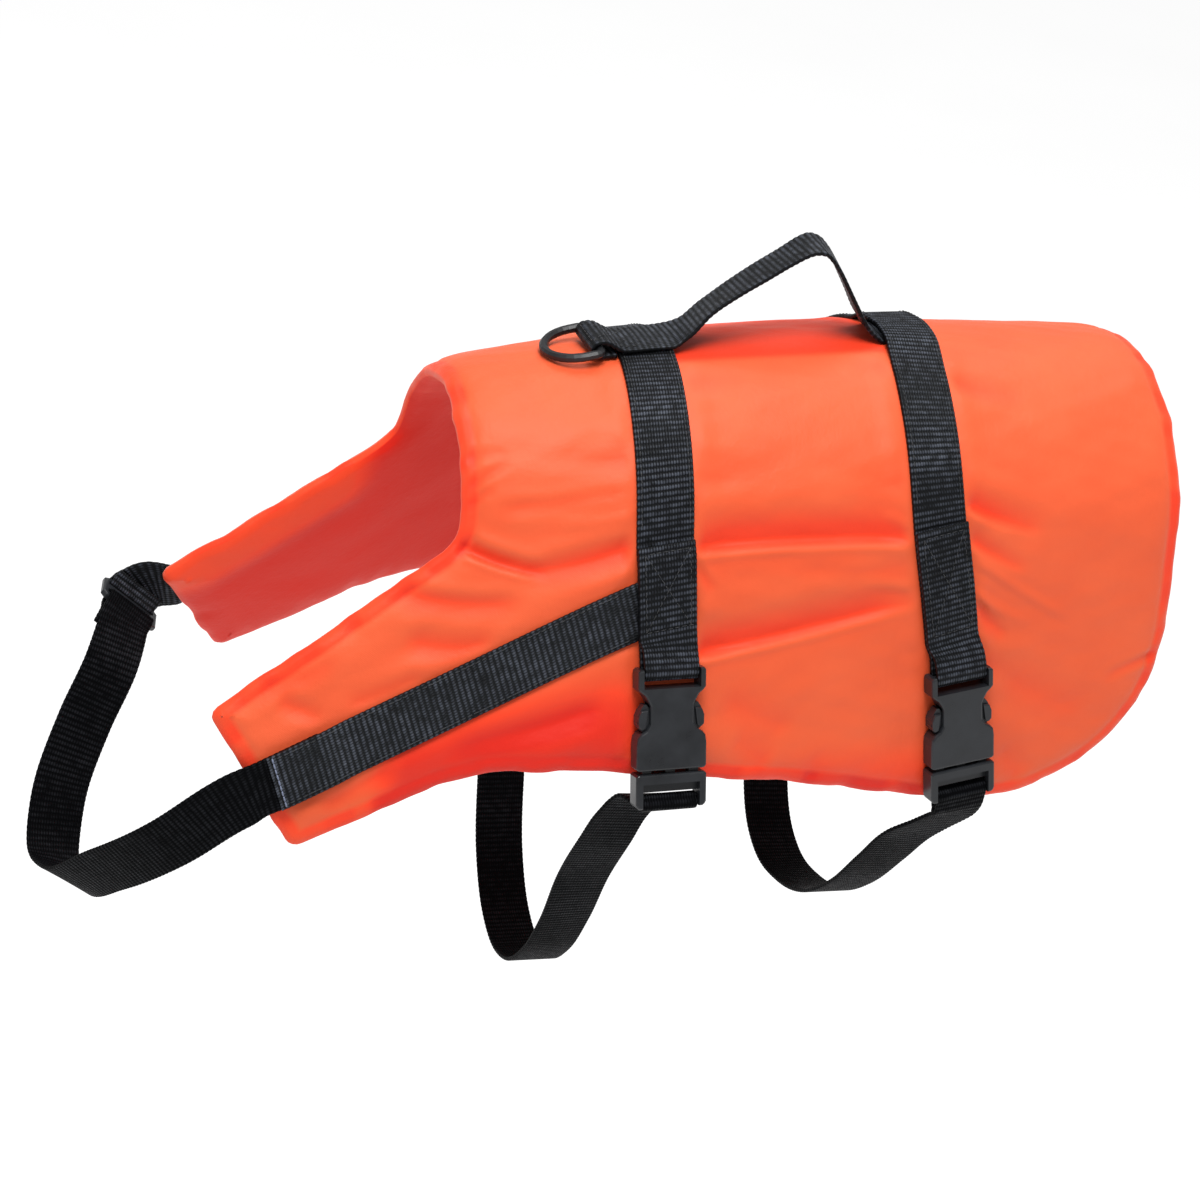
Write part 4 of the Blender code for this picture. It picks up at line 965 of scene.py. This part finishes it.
def stitches(name, runs, finish, size):
    """Threads along runs of (points, outward directions), joined in one mesh."""
    length, gap, radius = size
    template, shape = one_stitch(length, radius)
    points, faces = [], []
    for path, out in runs:
        along = arc_length(path)
        middles = np.arange((length + gap) / 2, along[-1], length + gap)
        before, at, after = (at_places(middles + off, along, path) for off in (-0.5, 0, 0.5))
        run = unit(after - before)
        side = unit(np.cross(unit(at_places(middles, along, out)), run))
        for p, r, w, n in zip(at, run, side, np.cross(run, side)):
            start = len(points) * len(template)
            points.append(p + template @ np.stack([r, w, n]))
            faces += [[start + v for v in face] for face in shape]
    add_mesh(name, np.vstack(points), faces, finish)


def seam_run(rows, s, u, face):
    """A seam on one face of a strap: s and u of its points."""
    points, out = strap_at(rows, s, u, face * 1.16)
    return points, out * face


def line(a, b):
    count = max(2, int(math.hypot(b[0] - a[0], (b[1] - a[1]) * WEB / 2) / SEAM_STEP))
    return np.linspace(a, b, count).T


def box_cross(rows, low, high, face):
    """A sewn box with a cross in it, between two places along a strap."""
    a, b, c, d = [(s, u * BOX_REACH) for s, u in ((low, -1), (high, -1), (high, 1), (low, 1))]
    pairs = ((a, b), (b, c), (c, d), (d, a), (a, c), (b, d))
    return [seam_run(rows, *line(*pair), face) for pair in pairs]


def edge_seams(rows, low, high, face):
    return [seam_run(rows, *line((low, u), (high, u)), face) for u in (-EDGE_REACH, EDGE_REACH)]


# ---------- materials

def feed(socket, value):
    """Link a socket to another one, or set its value."""
    if isinstance(value, bpy.types.NodeSocket):
        value.id_data.links.new(value, socket)
    elif value is not None:
        socket.default_value = value


def dress(shader, **sockets):
    for name, value in sockets.items():
        feed(shader.inputs[name.replace("_", " ")], value)


def new_material(name, colour, roughness, **sockets):
    """A material and its shader."""
    made = bpy.data.materials.new(name)
    made.use_nodes = True
    shader = made.node_tree.nodes["Principled BSDF"]
    dress(shader, Base_Color=(*colour, 1), Roughness=roughness, **sockets)
    return made, shader


def node(near, kind, **values):
    """Node in the same tree as a node or socket, with its sockets and settings."""
    made = near.id_data.nodes.new("ShaderNode" + kind)
    for key, value in values.items():
        if key in made.inputs:
            feed(made.inputs[key], value)
        else:
            setattr(made, key, value)
    return made


def math_node(operation, first, second=None):
    made = node(first, "Math", operation=operation)
    feed(made.inputs[0], first)
    feed(made.inputs[1], second)
    return made.outputs[0]


def times(first, second):
    return math_node("MULTIPLY", first, second)


def wave(coordinate, factor):
    return math_node("SINE", times(coordinate, factor))


def noise(vector, scale, detail=3.0, rough=0.55):
    return node(vector, "TexNoise", Vector=vector, Scale=scale, Detail=detail,
                Roughness=rough).outputs["Fac"]


def ramp(value, low, first, high, second):
    """From the first colour or grey at low to the second at high."""
    made = node(value, "ValToRGB", Fac=value)
    for end, at, colour in zip(made.color_ramp.elements, (low, high), (first, second)):
        end.position = at
        end.color = (*np.broadcast_to(colour, 3), 1)
    return made.outputs[0]


def mix_colour(share, first, second):
    made = node(share, "Mix", data_type="RGBA")
    for socket, value in ((0, share), (6, first), (7, second)):
        feed(made.inputs[socket], value)
    return made.outputs[2]


def bump(shader, height, strength, distance, before=None):
    made = node(shader, "Bump", Strength=strength, Distance=distance, Height=height, Normal=before)
    dress(shader, Normal=made.outputs[0])
    return made.outputs[0]


def nylon_material():
    made, shader = new_material(
        "orange_nylon_cloth", (0.82, 0.09, 0.032), 0.5, Specular_IOR_Level=0.3,
        Specular_Tint=(1.0, 0.88, 0.76, 1.0), Sheen_Weight=0.24, Sheen_Roughness=0.4,
        Sheen_Tint=(1.0, 0.62, 0.44, 1.0))
    at = node(shader, "Attribute", attribute_name="weave").outputs["Vector"]
    # Painted shade and light, read from the mesh.
    deep = node(shader, "Attribute", attribute_name="painted_shade_and_light").outputs["Fac"]
    broad = noise(at, 22.0, 4.0)
    base = ramp(broad, 0.3, (0.745, 0.092, 0.029), 0.7, (0.78, 0.109, 0.036))
    # Painted shade: up to half its full amount the colour goes towards a saturated red, from half
    # to full on towards a dark red.
    painted_shade_share = times(deep, 2.0)
    base = mix_colour(painted_shade_share, base, (0.86, 0.050, 0.014, 1))
    deeper_painted_shade = math_node("SUBTRACT", painted_shade_share, 1.0)
    dress(shader, Base_Color=mix_colour(deeper_painted_shade, base, (0.68, 0.015, 0.0065, 1)),
          Roughness=ramp(broad, 0.2, 0.44, 0.8, 0.56))
    split = node(shader, "SeparateXYZ", Vector=at).outputs
    pitch = 2 * math.pi / 0.0009
    weave = times(wave(split[0], pitch), wave(split[1], pitch))
    fine = math_node("ADD", times(weave, 0.5), noise(at, 900.0, 2.0))
    crumple = bump(shader, noise(at, 75.0, 3.0, 0.5), 0.35, 0.0011)
    crumple = bump(shader, noise(at, 330.0, 2.0, 0.6), 0.4, 0.0004, crumple)
    bump(shader, fine, 0.22, 0.00018, crumple)
    return made


def webbing_material(name, gloss, painted_light):
    """Ribbed weave, with painted highlights on the yarns' tops, in patches."""
    made, shader = new_material(name, (0.01, 0.01, 0.012), 0.42, Specular_IOR_Level=gloss,
                                Specular_Tint=(0.88, 0.94, 1.0, 1.0))
    at = node(shader, "Attribute", attribute_name="weave").outputs["Vector"]
    split = node(shader, "SeparateXYZ", Vector=at).outputs
    column = math_node("ABSOLUTE", wave(split[0], math.pi / (WEB_COLUMN * MM)))
    row = math_node("ABSOLUTE", wave(split[1], math.pi / (RIB * MM)))
    plied = times(noise(at, 1500.0, 2.0), 0.5)
    bump(shader, math_node("ADD", times(column, 0.7), plied), 0.8, 0.0004)
    # Painted highlights: the yarns' tops, in random patches, take the highlight colour.
    yarns = math_node("ADD", times(column, 0.6), 0.4)
    patches = times(noise(at, 26.0, 3.0, 0.6), 2.0)
    lit = times(times(yarns, row), times(noise(at, 240.0), patches))
    dress(shader, Base_Color=ramp(lit, 0.22, (0.0016, 0.0016, 0.002), 0.6, painted_light),
          Roughness=ramp(lit, 0.1, 0.55, 0.6, 0.36))
    return made


def hard_material(name, colour, roughness, grain, strength, gloss):
    """Moulded plastic or painted metal, with a fine grain and uneven gloss."""
    made, shader = new_material(name, colour, roughness, Specular_IOR_Level=gloss)
    at = node(shader, "TexCoord").outputs["Object"]
    broad = noise(at, 90.0, 4.0)
    shades = [tuple(c * share for c in colour) for share in (0.8, 1.35)]
    dress(shader, Base_Color=ramp(broad, 0.3, shades[0], 0.7, shades[1]),
          Roughness=ramp(broad, 0.3, roughness - 0.06, 0.7, roughness + 0.08))
    bump(shader, noise(at, grain), strength, 0.00012)
    return made


def thread_material(name, colour):
    made, shader = new_material(name, colour, 0.55, Sheen_Weight=0.2)
    twist = noise(node(shader, "TexCoord").outputs["Object"], 2600.0, 2.0)
    darker = tuple(c * 0.7 for c in colour)
    dress(shader, Base_Color=ramp(twist, 0.3, darker, 0.7, colour))
    bump(shader, twist, 0.4, 0.0001)
    return made


# ---------- stage

def floor_material():
    made, shader = new_material("pale_floor", (0.35, 0.35, 0.35), 0.9, Specular_IOR_Level=0.0,
                                Emission_Strength=0.8, Emission_Color=(1.0, 1.0, 1.0, 1.0))
    at = node(shader, "TexCoord").outputs["Object"]
    dress(shader, Base_Color=ramp(noise(at, 3.0), 0.3, 0.34, 0.7, 0.36))
    return made


def build_floor():
    mesh = bpy.data.meshes.new("floor")
    corners = ((-1, -1), (1, -1), (1, 1), (-1, 1))
    mesh.from_pydata([(x * FLOOR_REACH, y * FLOOR_REACH, FLOOR_Z) for x, y in corners], [],
                     [(0, 1, 2, 3)])
    mesh.materials.append(floor_material())
    add_object("floor", mesh)


def area_light(name, place, target, size, energy):
    light = bpy.data.lights.new(name, "AREA")
    light.size = size
    light.energy = energy
    obj = add_object(name, light)
    obj.location = place
    obj.rotation_mode = "QUATERNION"
    obj.rotation_quaternion = (Vector(target) - Vector(place)).to_track_quat("-Z", "Y")


def build_lights():
    world = bpy.data.worlds.new("studio")
    bpy.context.scene.world = world
    world.use_nodes = True
    sky = world.node_tree.nodes["Background"]
    sky.inputs["Color"].default_value = (1, 1, 1, 1)
    sky.inputs["Strength"].default_value = 0.42
    area_light("softbox_key", (-0.3, -0.6, 1.5), (0.0, -0.05, -0.1), 0.75, 29.5)
    area_light("softbox_back", (0.35, 0.55, 1.6), (0.0, 0.0, -0.05), 0.9, 14.0)


def build_camera():
    data = bpy.data.cameras.new("camera")
    data.sensor_width = SENSOR
    data.lens = LENS
    data.clip_end = 200
    look = Vector(LOOK).normalized()
    right = Vector(LOOK_RIGHT)
    right = (right - look * right.dot(look)).normalized()
    pose = Matrix((right, right.cross(look), -look)).transposed().to_4x4()
    pose.translation = Vector(EYE) * MM
    camera = add_object("camera", data)
    camera.matrix_world = pose
    bpy.context.scene.camera = camera


# ---------- the whole

def build_straps(webbing, slack, thread, pale):
    rows = {"girth_strap_" + lane: girth_strap(lane) for lane in GIRTH_END}
    rows.update({"belly_strap_" + lane: belly_strap(lane) for lane in GIRTH_END})
    rows.update({"chest_strap_left": chest_side(-1), "chest_strap_right": chest_side(1),
                 "chest_strap_free": chest_free(), "chest_tab": chest_tab(),
                 "handle_strap": handle_strap()})
    for name, pair in rows.items():
        # The straps hanging under the belly take the second, darker copy of the webbing: painted
        # shade.
        hung = name.startswith("belly") or name == "chest_strap_free"
        build_webbing(name, pair, slack if hung else webbing)
    runs, hems = [], []
    for lane in GIRTH_END:
        pair = rows["girth_strap_" + lane]
        whole = down_middle(pair)[-1]
        folded = SOCKET_TOP[lane] - DOUBLED - BOX_TOP[lane]
        fold = whole - GIRTH_END[lane] - BOX_TOP[lane]
        runs += box_cross(pair, BOX_MARGIN, folded - BOX_MARGIN, -1)
        runs += edge_seams(pair, fold + EDGE_MARGIN, whole - EDGE_MARGIN, 1)
        runs += box_cross(rows["belly_strap_" + lane], BOX_MARGIN, BOX_MARGIN + ROOT_BOX, -1)
    for side in ("left", "right"):
        pair = rows["chest_strap_" + side]
        whole = down_middle(pair)[-1]
        runs += edge_seams(pair, CHEST_SEAM, whole - BOX_MARGIN, 1)
        at = whole - HEM_LINE
        hems.append(seam_run(pair, *line((at, -HEM_REACH), (at, HEM_REACH)), 1))
    runs += box_cross(rows["handle_strap"], *TAB_BOX, 1)
    stitches("strap_stitching", runs, thread, BLACK_STITCH)
    stitches("hem_stitching", hems, pale, PALE_STITCH)


def main():
    plastic = hard_material("black_plastic_moulded", (0.0125, 0.0138, 0.0165), 0.33, 1400.0, 0.12,
                            0.4)
    steel = hard_material("black_steel_painted", (0.011, 0.0115, 0.013), 0.4, 900.0, 0.1, 0.35)
    build_jacket(nylon_material())
    # The second webbing is a darker, less glossy copy of the first: painted shade for the hanging
    # straps.
    build_straps(webbing_material("black_webbing_weave", 0.18, (0.058, 0.065, 0.083)),
                 webbing_material("black_webbing_painted_shade", 0.03, (0.012, 0.0126, 0.015)),
                 thread_material("black_thread", (0.012, 0.013, 0.016)),
                 thread_material("pale_thread", (0.17, 0.2, 0.3)))
    for name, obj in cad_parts.items():
        if name.startswith("buckle") or name == "chest_slider":
            obj.material_slots[0].material = plastic
        if name == "d_ring":
            obj.material_slots[0].material = steel
    build_floor()
    build_lights()
    build_camera()
    bpy.context.scene.view_settings.view_transform = "Standard"


main()
